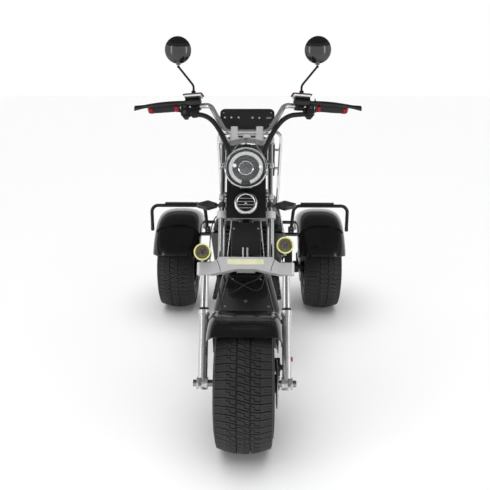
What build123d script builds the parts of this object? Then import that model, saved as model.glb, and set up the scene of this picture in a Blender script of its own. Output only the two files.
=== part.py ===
from build123d import *
from math import asin, atan, cos, degrees, pi, radians, sin, sqrt, tan
import os

# Three-wheeled electric chopper: one fat tyre under a long raked fork, two behind.
# Millimetres. Forward is -Y, up is +Z and +X is the rider's left. The origin lies on
# the ground, in the middle of the length and width.

# Wheels and stance
TYRE_R = 235
TYRE_W = 204
WHEELBASE = 1360
TRACK = 818
REAR_REACH = 340
RAKE = 27
STEER_OFFSET = 45

# Fork and bar, measured up the fork from the front axle
FORK_HALF = 150
STANCHION_R = 13.5
SLIDER_R = 17
SLIDER_TOP = 259
YOKE_LOW = 387
YOKE_TOP = 451
YOKE_HALF = 179
TUBE_HALF = 91
TUBE_BACK = 20
TUBE_R = 14.5
TUBE_UPPER_R = 10.5
CLAMP_LOW = 606
CLAMP_TOP = 633
TOP_YOKE_LOW = 916
TOP_YOKE_TOP = 941
BAR_R = 11
RISER_UP = 20
BAR_BACK = 30
BAR_HALF = 412
GRIP_RISE = 138
GRIP_BACK = 122
STEM_R = 15
AXLE_R = 7.5

# Frame and body, measured back from the front axle and up from the ground
RAIL_R = 14
RAIL_HALF = 127
RAIL_UP = 275
DECK_HALF = 147
DECK_UP = 384
DECK_FRONT = 460
SEAT_FRONT = WHEELBASE - 625
SEAT_BACK = WHEELBASE - 125
SEAT_UNDER = 600
SEAT_TOP = 712
CROSS_R = 10
CROSS_UP = 470
HOOP_R = 9
FENDER_R = 338
FENDER_IN = 262
FENDER_OUT = 518
CROSS_BACKS = (WHEELBASE - 160, WHEELBASE + 120)

# Shared clearances and sheet thicknesses
RUN_FIT = 0.05
SEAT_FIT = 0.3
OVER = 5
SKIN = 4

FRONT_AXLE_Y = -(WHEELBASE + REAR_REACH - TYRE_R) / 2
REAR_AXLE_Y = FRONT_AXLE_Y + WHEELBASE
FORK_PLACE = Location((0, FRONT_AXLE_Y, TYRE_R), (-RAKE, 0, 0))
BAR_UP = TOP_YOKE_TOP + RISER_UP
GRIP_UP = BAR_UP + GRIP_RISE
ARC_SHARE = 0.45
SIDES = (-1, 1)


def back(distance):
    """World Y of a place measured back from the front axle."""
    return FRONT_AXLE_Y + distance


def on_fork(shape):
    """Lays a shape that was drawn along an upright fork onto the raked one."""
    return FORK_PLACE * shape


def rod(start, end, radius):
    """A round bar from one point to another."""
    run = Vector(*end) - Vector(*start)
    return extrude(Plane(origin=start, z_dir=run) * Circle(radius), run.length)


def sleeve(start, end, radius, bore):
    """A round tube from one point to another."""
    run = Vector(*end) - Vector(*start)
    ring = Circle(radius) - Circle(bore)
    return extrude(Plane(origin=start, z_dir=run) * ring, run.length)


def turn_radii(points):
    """The widest arc that each corner of a route has room for between its two runs."""
    radii = []
    for before, here, after in zip(points, points[1:], points[2:]):
        run_in, run_out = Vector(*here) - Vector(*before), Vector(*after) - Vector(*here)
        half_turn = radians(run_in.get_angle(run_out)) / 2
        radii.append(ARC_SHARE * min(run_in.length, run_out.length) / tan(half_turn))
    return radii


def bent_bar(points, radius, bends):
    """A round bar along straight runs joined by arcs, none wider than its runs leave room for."""
    path = FilletPolyline(*points, radius=[min(pair) for pair in zip(bends, turn_radii(points))])
    return sweep(Plane(origin=path @ 0, z_dir=path % 0) * Circle(radius), path=path)


def slab(low, high, corner=0):
    """A box between two opposite corners, with its upright edges rounded."""
    size = [top - bottom for bottom, top in zip(low, high)]
    outline = RectangleRounded(size[0], size[1], corner) if corner else Rectangle(size[0], size[1])
    middle = ((low[0] + high[0]) / 2, (low[1] + high[1]) / 2, low[2])
    return extrude(Location(middle) * outline, size[2])


def facing(points, front, depth):
    """A plate cut to an outline of x and height points, from its front face backward."""
    plane = Plane(origin=(0, front, 0), x_dir=(1, 0, 0), z_dir=(0, -1, 0))
    return extrude(plane * make_face(Polyline(*points, close=True)), -depth)


def spun(points, axis):
    """A solid turned from an outline of straight lines."""
    return revolve(make_face(Polyline(*points, close=True)), axis)


def both(shape):
    """A shape and its twin on the other side."""
    return Compound(children=[shape, mirror(shape, about=Plane.YZ)])


# Wheels

RIM_HALF = 84
BEAD_R = 104
BEAD_UP = 6
SHOULDER_DROP = 15
GROOVE_X = 52
GROOVE_W = 6
GROOVE_DEEP = 7
RIM_LIP = 6
RIM_WALL = 8
HUB_R = 32
SPOKES = 6
SPOKE_W = 30
SPOKE_TIP_W = 22
SPOKE_HALF = 13
DISC_X = 114
DISC_R = 85
DISC_T = 4
DISC_IN = 50
DISC_HOLE_R = 4
DISC_HOLES = 12
HUB_NEAR = 95
SHAFT_R = 14


def tyre():
    """A low fat tyre about the X axis, with two grooves round its tread."""
    half = TYRE_W / 2
    side_r = BEAD_R + BEAD_UP
    shoulder_r = TYRE_R - SHOULDER_DROP
    middle_r = (side_r + shoulder_r) / 2
    section = make_face([
        Line((-RIM_HALF, BEAD_R), (RIM_HALF, BEAD_R)),
        Line((RIM_HALF, BEAD_R), (RIM_HALF, side_r)),
        ThreePointArc((RIM_HALF, side_r), (half, middle_r), (RIM_HALF, shoulder_r)),
        ThreePointArc((RIM_HALF, shoulder_r), (0, TYRE_R), (-RIM_HALF, shoulder_r)),
        ThreePointArc((-RIM_HALF, shoulder_r), (-half, middle_r), (-RIM_HALF, side_r)),
        Line((-RIM_HALF, side_r), (-RIM_HALF, BEAD_R)),
    ])
    cut = Rectangle(GROOVE_W, GROOVE_DEEP + OVER, align=(Align.CENTER, Align.MIN))
    for side in SIDES:
        section -= Location((side * GROOVE_X, TYRE_R - SHOULDER_DROP / 2 - GROOVE_DEEP)) * cut
    return revolve(section, Axis.X)


def rim(bore, near, far):
    """A cast rim about the X axis: barrel, spokes and hub, with or without a bore."""
    seat_r = BEAD_R - SEAT_FIT
    lip_r = BEAD_R + BEAD_UP - SEAT_FIT
    inner_r = seat_r - RIM_WALL
    inner_x = RIM_HALF + SEAT_FIT
    outer_x = inner_x + RIM_LIP
    barrel = spun([
        (-outer_x, inner_r), (outer_x, inner_r), (outer_x, lip_r), (inner_x, lip_r),
        (inner_x, seat_r), (-inner_x, seat_r), (-inner_x, lip_r), (-outer_x, lip_r),
    ], Axis.X)
    hub = rod((near, 0, 0), (far, 0, 0), HUB_R)
    plane = Plane(origin=(-SPOKE_HALF, 0, 0), x_dir=(0, 1, 0), z_dir=(1, 0, 0))
    blade = make_face(Polyline(
        (-SPOKE_W / 2, 0), (SPOKE_W / 2, 0),
        (SPOKE_TIP_W / 2, inner_r + RIM_WALL / 2), (-SPOKE_TIP_W / 2, inner_r + RIM_WALL / 2),
        close=True,
    ))
    spoke = extrude(plane * blade, 2 * SPOKE_HALF)
    wheel = barrel + hub + [Rot(360 / SPOKES * turn, 0, 0) * spoke for turn in range(SPOKES)]
    if bore:
        wheel -= rod((near - OVER, 0, 0), (far + OVER, 0, 0), bore)
    return wheel


def brake_disc(at):
    """A drilled disc about the X axis, on a ring round the hub."""
    ring = sleeve((at - DISC_T / 2, 0, 0), (at + DISC_T / 2, 0, 0), DISC_R, HUB_R + SEAT_FIT)
    for turn in range(DISC_HOLES):
        hole = rod((at - DISC_T, 0, 0), (at + DISC_T, 0, 0), DISC_HOLE_R)
        ring -= Rot(360 / DISC_HOLES * turn, 0, 0) * Location((0, (DISC_IN + DISC_R) / 2, 0)) * hole
    return ring


def front_wheel():
    place = Location((0, FRONT_AXLE_Y, TYRE_R))
    hub_far = DISC_X + DISC_T
    return {
        "front_tyre": place * tyre(),
        "front_rim": place * rim(AXLE_R + RUN_FIT, -HUB_NEAR, hub_far),
        "front_disc": place * brake_disc(DISC_X),
    }


HUB_SPACE = 2
LUG_R = 21
LUG_IN = 130
LUG_OUT = 170
NUT_R = 12
AXLE_HALF = 183
FOOT_LOW = -22
COLLAR_R = 20.5
COLLAR_TALL = 22
BORE_LOW = 100


def fork_sliders():
    """Lower legs, each with its axle lug, its collar and the bore for its stanchion."""
    leg = rod((FORK_HALF, 0, FOOT_LOW), (FORK_HALF, 0, SLIDER_TOP), SLIDER_R)
    leg += rod((FORK_HALF, 0, SLIDER_TOP - COLLAR_TALL), (FORK_HALF, 0, SLIDER_TOP), COLLAR_R)
    leg += rod((LUG_IN, 0, 0), (LUG_OUT, 0, 0), LUG_R)
    leg -= rod((FORK_HALF, 0, BORE_LOW), (FORK_HALF, 0, SLIDER_TOP + OVER), STANCHION_R + RUN_FIT)
    leg -= rod((LUG_IN - OVER, 0, 0), (LUG_OUT + OVER, 0, 0), AXLE_R + RUN_FIT)
    return on_fork(both(leg))


def fork_stanchions():
    """Polished inner legs between the sliders and the lower yoke."""
    leg = rod((FORK_HALF, 0, BORE_LOW), (FORK_HALF, 0, YOKE_TOP - COLLAR_TALL), STANCHION_R)
    return on_fork(both(leg))


def front_axle():
    """Axle, its two nuts and the spacers beside the hub."""
    axle = rod((-AXLE_HALF, 0, 0), (AXLE_HALF, 0, 0), AXLE_R)
    for side in SIDES:
        axle += rod((side * (LUG_OUT + SEAT_FIT), 0, 0), (side * (AXLE_HALF - SEAT_FIT), 0, 0), NUT_R)
    axle += rod((-LUG_IN + SEAT_FIT, 0, 0), (-HUB_NEAR - HUB_SPACE, 0, 0), NUT_R)
    axle += rod((LUG_IN - SEAT_FIT, 0, 0), (DISC_X + DISC_T + HUB_SPACE, 0, 0), NUT_R)
    return on_fork(axle)


# Yokes

YOKE_FLAT = 96
YOKE_STEP = 20
YOKE_ARCH = 19
YOKE_FRONT = 26
YOKE_CORE = 35
YOKE_BACK = 70
CLAMP_R = 25
CLAMP_SPLIT = 3
STEM_TOP = 650


def lower_yoke():
    """Wide cast yoke with a split clamp on each leg, and the steering stem pressed in it."""
    ends = YOKE_TOP - YOKE_STEP
    shoulder = (YOKE_FLAT + FORK_HALF) / 2
    casting = facing([
        (-YOKE_FLAT, YOKE_TOP), (YOKE_FLAT, YOKE_TOP), (shoulder, ends), (YOKE_HALF, ends),
        (YOKE_HALF, YOKE_LOW), (shoulder, YOKE_LOW), (YOKE_CORE, YOKE_LOW + YOKE_ARCH),
        (-YOKE_CORE, YOKE_LOW + YOKE_ARCH), (-shoulder, YOKE_LOW), (-YOKE_HALF, YOKE_LOW),
        (-YOKE_HALF, ends), (-shoulder, ends),
    ], -YOKE_FRONT, 2 * YOKE_FRONT)
    casting = fillet(casting.edges().filter_by(Axis.Z), YOKE_FRONT / 2)
    casting += slab((-YOKE_CORE, 0, YOKE_LOW + YOKE_ARCH), (YOKE_CORE, YOKE_BACK, YOKE_TOP), CLAMP_SPLIT)
    casting += rod((0, STEER_OFFSET, YOKE_TOP - YOKE_STEP), (0, STEER_OFFSET, STEM_TOP), STEM_R)
    for side in SIDES:
        leg_x = side * FORK_HALF
        tube_x = side * TUBE_HALF
        casting -= rod((leg_x, 0, YOKE_LOW - OVER), (leg_x, 0, YOKE_TOP), STANCHION_R + RUN_FIT)
        split_low = (leg_x - CLAMP_SPLIT / 2, 0, YOKE_LOW - OVER)
        casting -= slab(split_low, (leg_x + CLAMP_SPLIT / 2, YOKE_FRONT + OVER, YOKE_TOP))
        casting -= rod((tube_x, TUBE_BACK, ends), (tube_x, TUBE_BACK, YOKE_TOP + OVER), TUBE_R + RUN_FIT)
    collar = rod((TUBE_HALF, TUBE_BACK, ends - YOKE_STEP), (TUBE_HALF, TUBE_BACK, ends), TUBE_R + SKIN)
    casting += both(collar)
    return on_fork(casting)


def fork_upper_tubes():
    """Tubes from the lower yoke up to the bar, thinner above the middle clamp."""
    tube = rod((TUBE_HALF, TUBE_BACK, YOKE_TOP - YOKE_STEP), (TUBE_HALF, TUBE_BACK, CLAMP_TOP), TUBE_R)
    tube += rod((TUBE_HALF, TUBE_BACK, CLAMP_TOP), (TUBE_HALF, TUBE_BACK, TOP_YOKE_TOP), TUBE_UPPER_R)
    return on_fork(both(tube))


RING_WALL = 6.5
BRIDGE_DEEP = 34
STEM_NUT_R = 20
STEM_NUT_TALL = 10


def middle_clamp():
    """Chrome bridge that holds both tubes and the top of the steering stem."""
    low = (-TUBE_HALF, TUBE_BACK - RING_WALL, CLAMP_LOW)
    bridge = slab(low, (TUBE_HALF, TUBE_BACK + BRIDGE_DEEP, CLAMP_TOP))
    bridge += rod((0, STEER_OFFSET, CLAMP_LOW), (0, STEER_OFFSET, CLAMP_TOP), STEM_R + 2 * RING_WALL)
    bridge += rod((0, STEER_OFFSET, CLAMP_TOP), (0, STEER_OFFSET, CLAMP_TOP + STEM_NUT_TALL), STEM_NUT_R)
    for side in SIDES:
        at = (side * TUBE_HALF, TUBE_BACK)
        bridge += rod((*at, CLAMP_LOW), (*at, CLAMP_TOP), TUBE_R + RING_WALL)
    for side in SIDES:
        at = (side * TUBE_HALF, TUBE_BACK)
        bridge -= rod((*at, CLAMP_LOW - OVER), (*at, CLAMP_TOP + OVER), TUBE_R + RUN_FIT)
    bridge -= rod((0, STEER_OFFSET, CLAMP_LOW - OVER), (0, STEER_OFFSET, STEM_TOP + OVER), STEM_R + RUN_FIT)
    return on_fork(bridge)


TOP_PLATE_HALF = 67
TOP_PLATE_FRONT = 4
TOP_PLATE_BACK = 58
EAR_DROP = 8
RISER_X = 50
RISER_CLAMP_W = 28
CROWN_NUT_R = 15
CROWN_NUT_TALL = 6
TOP_ARCH_HALF = 55
TOP_ARCH = 10


def top_yoke():
    """Chrome plate at the top of the tubes, with the crown nut in its middle."""
    plate_low = (-TOP_PLATE_HALF, TOP_PLATE_FRONT, TOP_YOKE_LOW)
    plate = slab(plate_low, (TOP_PLATE_HALF, TOP_PLATE_BACK, TOP_YOKE_TOP), EAR_DROP)
    low = TOP_YOKE_LOW - EAR_DROP
    for side in SIDES:
        at = (side * TUBE_HALF, TUBE_BACK)
        plate += rod((*at, low), (*at, TOP_YOKE_TOP - EAR_DROP), TUBE_UPPER_R + RING_WALL)
        ends = sorted((0, side * TUBE_HALF))
        ear_low = (ends[0], TUBE_BACK - CROSS_R, TOP_YOKE_LOW)
        plate += slab(ear_low, (ends[1], TUBE_BACK + CROSS_R, TOP_YOKE_TOP - EAR_DROP))
    for side in SIDES:
        at = (side * TUBE_HALF, TUBE_BACK)
        plate -= rod((*at, low - OVER), (*at, TOP_YOKE_TOP + OVER), TUBE_UPPER_R + RUN_FIT)
    arch_r = (TOP_ARCH_HALF ** 2 + TOP_ARCH ** 2) / (2 * TOP_ARCH)
    arch_up = TOP_YOKE_LOW + TOP_ARCH - arch_r
    plate -= rod((0, TOP_PLATE_FRONT - OVER, arch_up), (0, TOP_PLATE_BACK + OVER, arch_up), arch_r)
    plate += rod((0, BAR_BACK, TOP_YOKE_TOP), (0, BAR_BACK, TOP_YOKE_TOP + CROWN_NUT_TALL), CROWN_NUT_R)
    return on_fork(plate)


def handlebar_risers():
    """Two clamps that stand on the top yoke and hold the bar."""
    low = (RISER_X - RISER_CLAMP_W / 2, BAR_BACK - BAR_R - RING_WALL, TOP_YOKE_TOP + SEAT_FIT)
    high = (RISER_X + RISER_CLAMP_W / 2, BAR_BACK + BAR_R + RING_WALL, BAR_UP + BAR_R + RING_WALL)
    clamp = slab(low, high, RING_WALL)
    clamp -= rod((0, BAR_BACK, BAR_UP), (BAR_HALF, BAR_BACK, BAR_UP), BAR_R + RUN_FIT)
    return on_fork(both(clamp))


BAR_FLAT = 86
BAR_RISE_X = 150
BAR_RISE_BACK = 65
BAR_RISE_DROP = 7
BAR_BEND = 35


def bar_points():
    """The bar's corners, from one end to the other."""
    right = [
        (BAR_HALF, GRIP_BACK, GRIP_UP),
        (BAR_RISE_X, BAR_RISE_BACK, GRIP_UP - BAR_RISE_DROP),
        (BAR_FLAT, BAR_BACK, BAR_UP),
    ]
    return right + [(-x, y, z) for x, y, z in reversed(right)]


def handlebar():
    return on_fork(bent_bar(bar_points(), BAR_R, [BAR_BEND] * 4))


def bar_place(across, side):
    """A frame on the bar's outer run: X out along the bar, Z up, at a distance from the middle."""
    end = Vector(side * BAR_HALF, GRIP_BACK, GRIP_UP)
    start = Vector(side * BAR_RISE_X, BAR_RISE_BACK, GRIP_UP - BAR_RISE_DROP)
    way = end - start
    share = (across - BAR_RISE_X) / (BAR_HALF - BAR_RISE_X)
    return Plane(origin=start + way * share, x_dir=way, z_dir=way.cross(Vector(0, side, 0)))


GRIP_R = 17
GRIP_FLANGE_R = 21
GRIP_IN = 275
GRIP_OUT = 408
GRIP_FLANGE_W = 7
SWITCH_IN = 236
SWITCH_W = 34
SWITCH_DEEP = 38
SWITCH_UP = 21
SWITCH_DOWN = 42
PERCH_IN = 192
PERCH_OUT = 228


def along_bar(across, length, side, radius):
    """A round piece on the bar, bored for it."""
    piece = sleeve((0, 0, 0), (length, 0, 0), radius, BAR_R + RUN_FIT)
    return bar_place(across, side).location * piece


def grips():
    pair = []
    for side in SIDES:
        grip = along_bar(GRIP_IN, GRIP_OUT - GRIP_IN, side, GRIP_R)
        grip += along_bar(GRIP_IN, GRIP_FLANGE_W, side, GRIP_FLANGE_R)
        pair.append(grip)
    return on_fork(Compound(children=pair))


def switch_housings():
    """Switch blocks inboard of the grips."""
    pair = []
    for side in SIDES:
        block = slab((0, -SWITCH_DEEP / 2, -SWITCH_DOWN), (SWITCH_W, SWITCH_DEEP / 2, SWITCH_UP), RING_WALL)
        block -= rod((-OVER, 0, 0), (SWITCH_W + OVER, 0, 0), BAR_R + RUN_FIT)
        pair.append(bar_place(SWITCH_IN, side).location * block)
    return on_fork(Compound(children=pair))


MASTER_FRONT = 40
MASTER_R = 13
LID_W = 82
LID_DEEP = 36
LID_UP = 14
LID_TALL = 20
LEVER_REACH = 455
LEVER_FRONT = 45
LEVER_T = 11
LEVER_BALL_R = 7.7
LEVER_LOW = 12


def brake_masters():
    """Clamp, pump body and fluid cup of each hand brake."""
    pair = []
    for side in SIDES:
        wide = PERCH_OUT - PERCH_IN
        fore = -side
        ring = BAR_R + RING_WALL
        body = slab((0, -ring, -ring), (wide, ring, ring - CLAMP_SPLIT))
        ends = sorted((0, fore * MASTER_FRONT))
        body += slab((0, ends[0], -MASTER_R), (wide, ends[1], LID_UP))
        front = fore * MASTER_FRONT
        body += rod((-MASTER_R, front, 0), (wide + MASTER_R, front, 0), MASTER_R)
        middle = wide / 2
        ends = sorted((fore * (MASTER_FRONT + LID_DEEP / 2), fore * (MASTER_FRONT - LID_DEEP / 2)))
        lid_low = (middle - LID_W / 2, ends[0], LID_UP)
        lid_high = (middle + LID_W / 2, ends[1], LID_UP + LID_TALL)
        body += slab(lid_low, lid_high, RING_WALL)
        body -= rod((-OVER, 0, 0), (wide + OVER, 0, 0), BAR_R + RUN_FIT)
        pair.append(bar_place(PERCH_IN, side).location * body)
    return on_fork(Compound(children=pair))


def brake_levers():
    """Blades in front of the grips, with a ball at each tip."""
    pair = []
    for side in SIDES:
        fore = -side
        start = PERCH_OUT + MASTER_R + SEAT_FIT
        length = LEVER_REACH - start
        points = [
            (0, fore * MASTER_FRONT, 0), (length / 3, fore * (LEVER_FRONT + LEVER_T), 0),
            (length, fore * LEVER_FRONT, -LEVER_LOW),
        ]
        blade = bent_bar(points, LEVER_T / 2, [GRIP_IN / 2])
        blade += Location(points[-1]) * Sphere(LEVER_BALL_R)
        pair.append(bar_place(start, side).location * blade)
    return on_fork(Compound(children=pair))


# Mirrors

MIRROR_OUT = 67.4
MIRROR_BEHIND = 73.1
MIRROR_RISE = 173.5
MIRROR_R = 54
MIRROR_RIM = 6
MIRROR_DEEP = 24
MIRROR_STEM_R = 4.5
MIRROR_KNEE_UP = 36
MIRROR_BALL_R = 6
SOCKET_R = 9
SOCKET_TALL = 5


def mirror_foot():
    """Foot of the left stem on its fluid cup, in the fork's frame."""
    cup = Location((0, -MASTER_FRONT, LID_UP + LID_TALL + SEAT_FIT))
    return (bar_place((PERCH_IN + PERCH_OUT) / 2, 1).location * cup).position


def mirror_place():
    """World place of the middle of the left head."""
    return (FORK_PLACE * Location(mirror_foot())).position + Vector(MIRROR_OUT, MIRROR_BEHIND, MIRROR_RISE)


def mirror_heads():
    """Round heads with a domed back toward the front and the glass toward the rider."""
    dome_r = (MIRROR_R ** 2 + MIRROR_DEEP ** 2) / (2 * MIRROR_DEEP)
    dome_turn = asin(MIRROR_R / dome_r) / 2
    middle = (dome_r * sin(dome_turn), dome_r * (1 - cos(dome_turn)) - MIRROR_DEEP)
    half = make_face([
        ThreePointArc((0, -MIRROR_DEEP), middle, (MIRROR_R, 0)),
        Line((MIRROR_R, 0), (MIRROR_R, MIRROR_RIM)),
        Line((MIRROR_R, MIRROR_RIM), (0, MIRROR_RIM)),
        Line((0, MIRROR_RIM), (0, -MIRROR_DEEP)),
    ])
    head = revolve(half, Axis.Y)
    head += rod((0, 0, -MIRROR_R - SOCKET_TALL), (0, 0, 0), SOCKET_R)
    return both(Location(mirror_place()) * head)


def mirror_stems():
    """Bent stems from the fluid cups up to the heads, with a ball under each head."""
    drop = MIRROR_R + SOCKET_TALL + SEAT_FIT + MIRROR_BALL_R
    ball = (FORK_PLACE.inverse() * Location(mirror_place() - Vector(0, 0, drop))).position
    foot = mirror_foot()
    knee = foot + Vector(0, 0, MIRROR_KNEE_UP)
    stem = bent_bar([foot, knee, ball], MIRROR_STEM_R, [MIRROR_KNEE_UP])
    stem += Location(ball) * Sphere(MIRROR_BALL_R)
    nut = rod(foot, foot + Vector(0, 0, MIRROR_KNEE_UP / 3), SOCKET_R)
    return on_fork(both(stem + nut))


# Lamps, horn and dash

BRACKET_HALF = 74
BRACKET_LOW = 640
BRACKET_TOP = 850
BRACKET_BACK = -26
HEAD_UP = 758.5
HEAD_FRONT = -140
HEAD_R = 77.5
HEAD_RIM = 14
HEAD_BARREL_R = 70
HEAD_NECK_R = 44
HORN_REACH = 64
HORN_R = 42
HORN_OPEN_R = 30
HORN_SLATS = 4


def lamp_bracket():
    """Plate across the tubes that carries the headlight and the horn, held by four rings."""
    plate_low = (-BRACKET_HALF, BRACKET_BACK, BRACKET_LOW - HORN_R)
    plate = slab(plate_low, (BRACKET_HALF, BRACKET_BACK + SKIN, BRACKET_TOP))
    for side in SIDES:
        for up in (BRACKET_LOW + HORN_R, BRACKET_TOP - HORN_R):
            at = (side * TUBE_HALF, TUBE_BACK)
            plate += rod((*at, up), (*at, up + 2 * CROSS_R), TUBE_UPPER_R + SKIN)
            ends = sorted((side * (BRACKET_HALF - SKIN), side * (TUBE_HALF + SKIN)))
            plate += slab((ends[0], BRACKET_BACK, up), (ends[1], TUBE_BACK, up + 2 * CROSS_R))
            plate -= rod((*at, up - OVER), (*at, up + 2 * CROSS_R + OVER), TUBE_UPPER_R + RUN_FIT)
    return on_fork(plate)


def lamp_can(front_r, depth, neck_r, neck):
    """A round lamp body about the Y axis: straight barrel, then a tapering back."""
    return spun([(0, 0), (front_r, 0), (front_r, depth), (neck_r, depth + neck), (0, depth + neck)], Axis.Y)


def headlight_bucket():
    depth = (BRACKET_BACK - SEAT_FIT - HEAD_FRONT - HEAD_RIM) / 2
    can = lamp_can(HEAD_BARREL_R, depth, HEAD_NECK_R, depth)
    return on_fork(Location((0, HEAD_FRONT + HEAD_RIM, HEAD_UP)) * can)


def headlight_ring():
    ring = sleeve((0, 0, 0), (0, HEAD_RIM - SEAT_FIT, 0), HEAD_R, HEAD_BARREL_R - SKIN)
    return on_fork(Location((0, HEAD_FRONT, HEAD_UP)) * ring)


def headlight_lens():
    lens_r = HEAD_BARREL_R - SKIN - SEAT_FIT
    lens = rod((0, SKIN, 0), (0, HEAD_RIM - SEAT_FIT, 0), lens_r)
    return on_fork(Location((0, HEAD_FRONT, HEAD_UP)) * lens)


def horn():
    """Round horn with a chrome ring and slats across its mouth."""
    depth = HORN_REACH - SEAT_FIT
    body = lamp_can(HORN_R - SKIN, depth - HEAD_RIM, HORN_OPEN_R, HEAD_RIM)
    body += sleeve((0, 0, 0), (0, HEAD_RIM, 0), HORN_R, HORN_OPEN_R)
    body -= rod((0, -OVER, 0), (0, HEAD_RIM, 0), HORN_OPEN_R)
    for step in range(HORN_SLATS):
        up = HORN_OPEN_R * (2 * (step + 1) / (HORN_SLATS + 1) - 1)
        reach = sqrt(HORN_OPEN_R ** 2 - up ** 2) + SKIN / 2
        body += slab((-reach, SKIN, up - SKIN / 4), (reach, HEAD_RIM + SKIN, up + SKIN / 4))
    return on_fork(Location((0, BRACKET_BACK - HORN_REACH, BRACKET_LOW)) * body)


DASH_HALF = 110
DASH_UP = 35
DASH_TALL = 100
DASH_FRONT = 62
DASH_DEEP = 36
DASH_CORNER = 20
DASH_NECK_HALF = 24


def dash_housing():
    """Rounded instrument case on a neck that stands on the top yoke."""
    low = TOP_YOKE_TOP + DASH_UP
    plane = Plane(origin=(0, DASH_FRONT, low + DASH_TALL / 2), x_dir=(1, 0, 0), z_dir=(0, -1, 0))
    case = extrude(plane * RectangleRounded(2 * DASH_HALF, DASH_TALL, DASH_CORNER), -DASH_DEEP)
    neck_low = (-DASH_NECK_HALF, BAR_BACK + BAR_R + RING_WALL, TOP_YOKE_TOP + SEAT_FIT)
    case += slab(neck_low, (DASH_NECK_HALF, DASH_FRONT + DASH_DEEP / 2, low + SKIN))
    return on_fork(case)


SIGNAL_UP = 659
SIGNAL_STEM = 112
SIGNAL_OUT = 189
SIGNAL_TALL = 37
SIGNAL_DEEP = 30
SIGNAL_STEM_R = 6
SIGNAL_WIDEST_SHARE = 0.45


def signal_body(reach):
    """A pointed indicator lying along X, from its stem end at zero."""
    tall, tip = SIGNAL_TALL / 2, SIGNAL_TALL / 5
    waist = reach * SIGNAL_WIDEST_SHARE
    outline = [(0, -tip), (waist, -tall), (reach, -tip), (reach, tip), (waist, tall), (0, tip)]
    return chamfer(facing(outline, -SIGNAL_DEEP / 2, SIGNAL_DEEP).faces().filter_by(Axis.Y).edges(), tip)


def turn_signals_front():
    """Indicators on stems, each clamped round a tube just over the middle clamp."""
    ring = rod((0, 0, -CROSS_R), (0, 0, CROSS_R), TUBE_UPPER_R + SKIN)
    ring += rod((0, 0, 0), (SIGNAL_STEM - TUBE_HALF + SKIN, 0, 0), SIGNAL_STEM_R)
    ring -= rod((0, 0, -OVER - CROSS_R), (0, 0, CROSS_R + OVER), TUBE_UPPER_R + RUN_FIT)
    ring += Location((SIGNAL_STEM - TUBE_HALF, 0, 0)) * signal_body(SIGNAL_OUT - SIGNAL_STEM)
    return on_fork(both(Location((TUBE_HALF, TUBE_BACK, SIGNAL_UP)) * ring))


SPOT_R = 31
SPOT_DEEP = 42
SPOT_FRONT = -68
SPOT_RIM = 8
SPOT_PLACES = ((-156, 462), (143, 488))
SPOT_FOOT_HALF = 14


def spot_lamps():
    """Two small driving lamps, each on a foot bolted over a fork leg."""
    pair = []
    ends = YOKE_TOP - YOKE_STEP
    for across, up in SPOT_PLACES:
        can = lamp_can(SPOT_R - SKIN, SPOT_DEEP, SPOT_R / 2, SPOT_RIM)
        lamp = Location((across, SPOT_FRONT + SPOT_RIM, up)) * can
        rear = SPOT_FRONT + SPOT_RIM + SPOT_DEEP
        side = 1 if across > 0 else -1
        foot_x = side * (FORK_HALF + SPOT_FOOT_HALF / 2)
        foot_low = (foot_x - SPOT_FOOT_HALF, rear, ends + SEAT_FIT)
        lamp += slab(foot_low, (foot_x + SPOT_FOOT_HALF, STANCHION_R, ends + SKIN))
        lamp += slab(foot_low, (foot_x + SPOT_FOOT_HALF, rear + SKIN, up))
        pair.append(lamp)
    return on_fork(Compound(children=pair))


def spot_rings():
    pair = []
    for across, up in SPOT_PLACES:
        ring = sleeve((0, 0, 0), (0, SPOT_RIM - SEAT_FIT, 0), SPOT_R, SPOT_R - 1.5 * SKIN)
        pair.append(Location((across, SPOT_FRONT, up)) * ring)
    return on_fork(Compound(children=pair))


# Front fender, brake and cables

GUARD_R = TYRE_R + 20
GUARD_HALF = 127
GUARD_BEND = 35
GUARD_SIDE_R = GUARD_R - 50
GUARD_AHEAD = 53
GUARD_BEHIND = 58
STAY_HALF = 16


def arch(outer_r, ends, bends, side_r, skin, ahead, behind):
    """A curved mudguard about the X axis: round shoulders, straight side walls, one thickness."""
    bend_in, bend_out = bends
    flats = (ends[0] + bend_in, ends[1] - bend_out)
    edges = []
    for wall in (0, skin):
        low_in, low_out = (ends[0] + wall, outer_r - bend_in), (ends[1] - wall, outer_r - bend_out)
        top_in, top_out = (flats[0], outer_r - wall), (flats[1], outer_r - wall)
        slant_in, slant_out = (bend_in - wall) * sin(pi / 4), (bend_out - wall) * sin(pi / 4)
        edges += [
            Line((low_in[0], side_r), low_in),
            ThreePointArc(low_in, (flats[0] - slant_in, low_in[1] + slant_in), top_in),
            Line(top_in, top_out),
            ThreePointArc(top_out, (flats[1] + slant_out, low_out[1] + slant_out), low_out),
            Line(low_out, (low_out[0], side_r)),
        ]
    edges += [Line((end, side_r), (end + way * skin, side_r)) for end, way in zip(ends, (1, -1))]
    return Rot(90 - behind, 0, 0) * revolve(make_face(edges), Axis.X, ahead + behind)


def front_fender():
    """Guard over the front tyre, with a block on each side to carry it on the slider."""
    ends, bends = (-GUARD_HALF, GUARD_HALF), (GUARD_BEND, GUARD_BEND)
    guard = arch(GUARD_R, ends, bends, GUARD_SIDE_R, SKIN, GUARD_AHEAD, GUARD_BEHIND)
    low = (GUARD_HALF - SKIN / 2, -STAY_HALF, GUARD_SIDE_R + SKIN)
    high = (FORK_HALF - SLIDER_R - SEAT_FIT, STAY_HALF, GUARD_SIDE_R + SKIN + STAY_HALF)
    stay = slab(low, high)
    return on_fork(guard + stay + mirror(stay, about=Plane.YZ))


CALIPER_GAP = 3
CALIPER_W = 18
CALIPER_LONG = 62
CALIPER_TALL = 34
CALIPER_TURN = 45
REAR_CALIPER_TURN = 30


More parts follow.
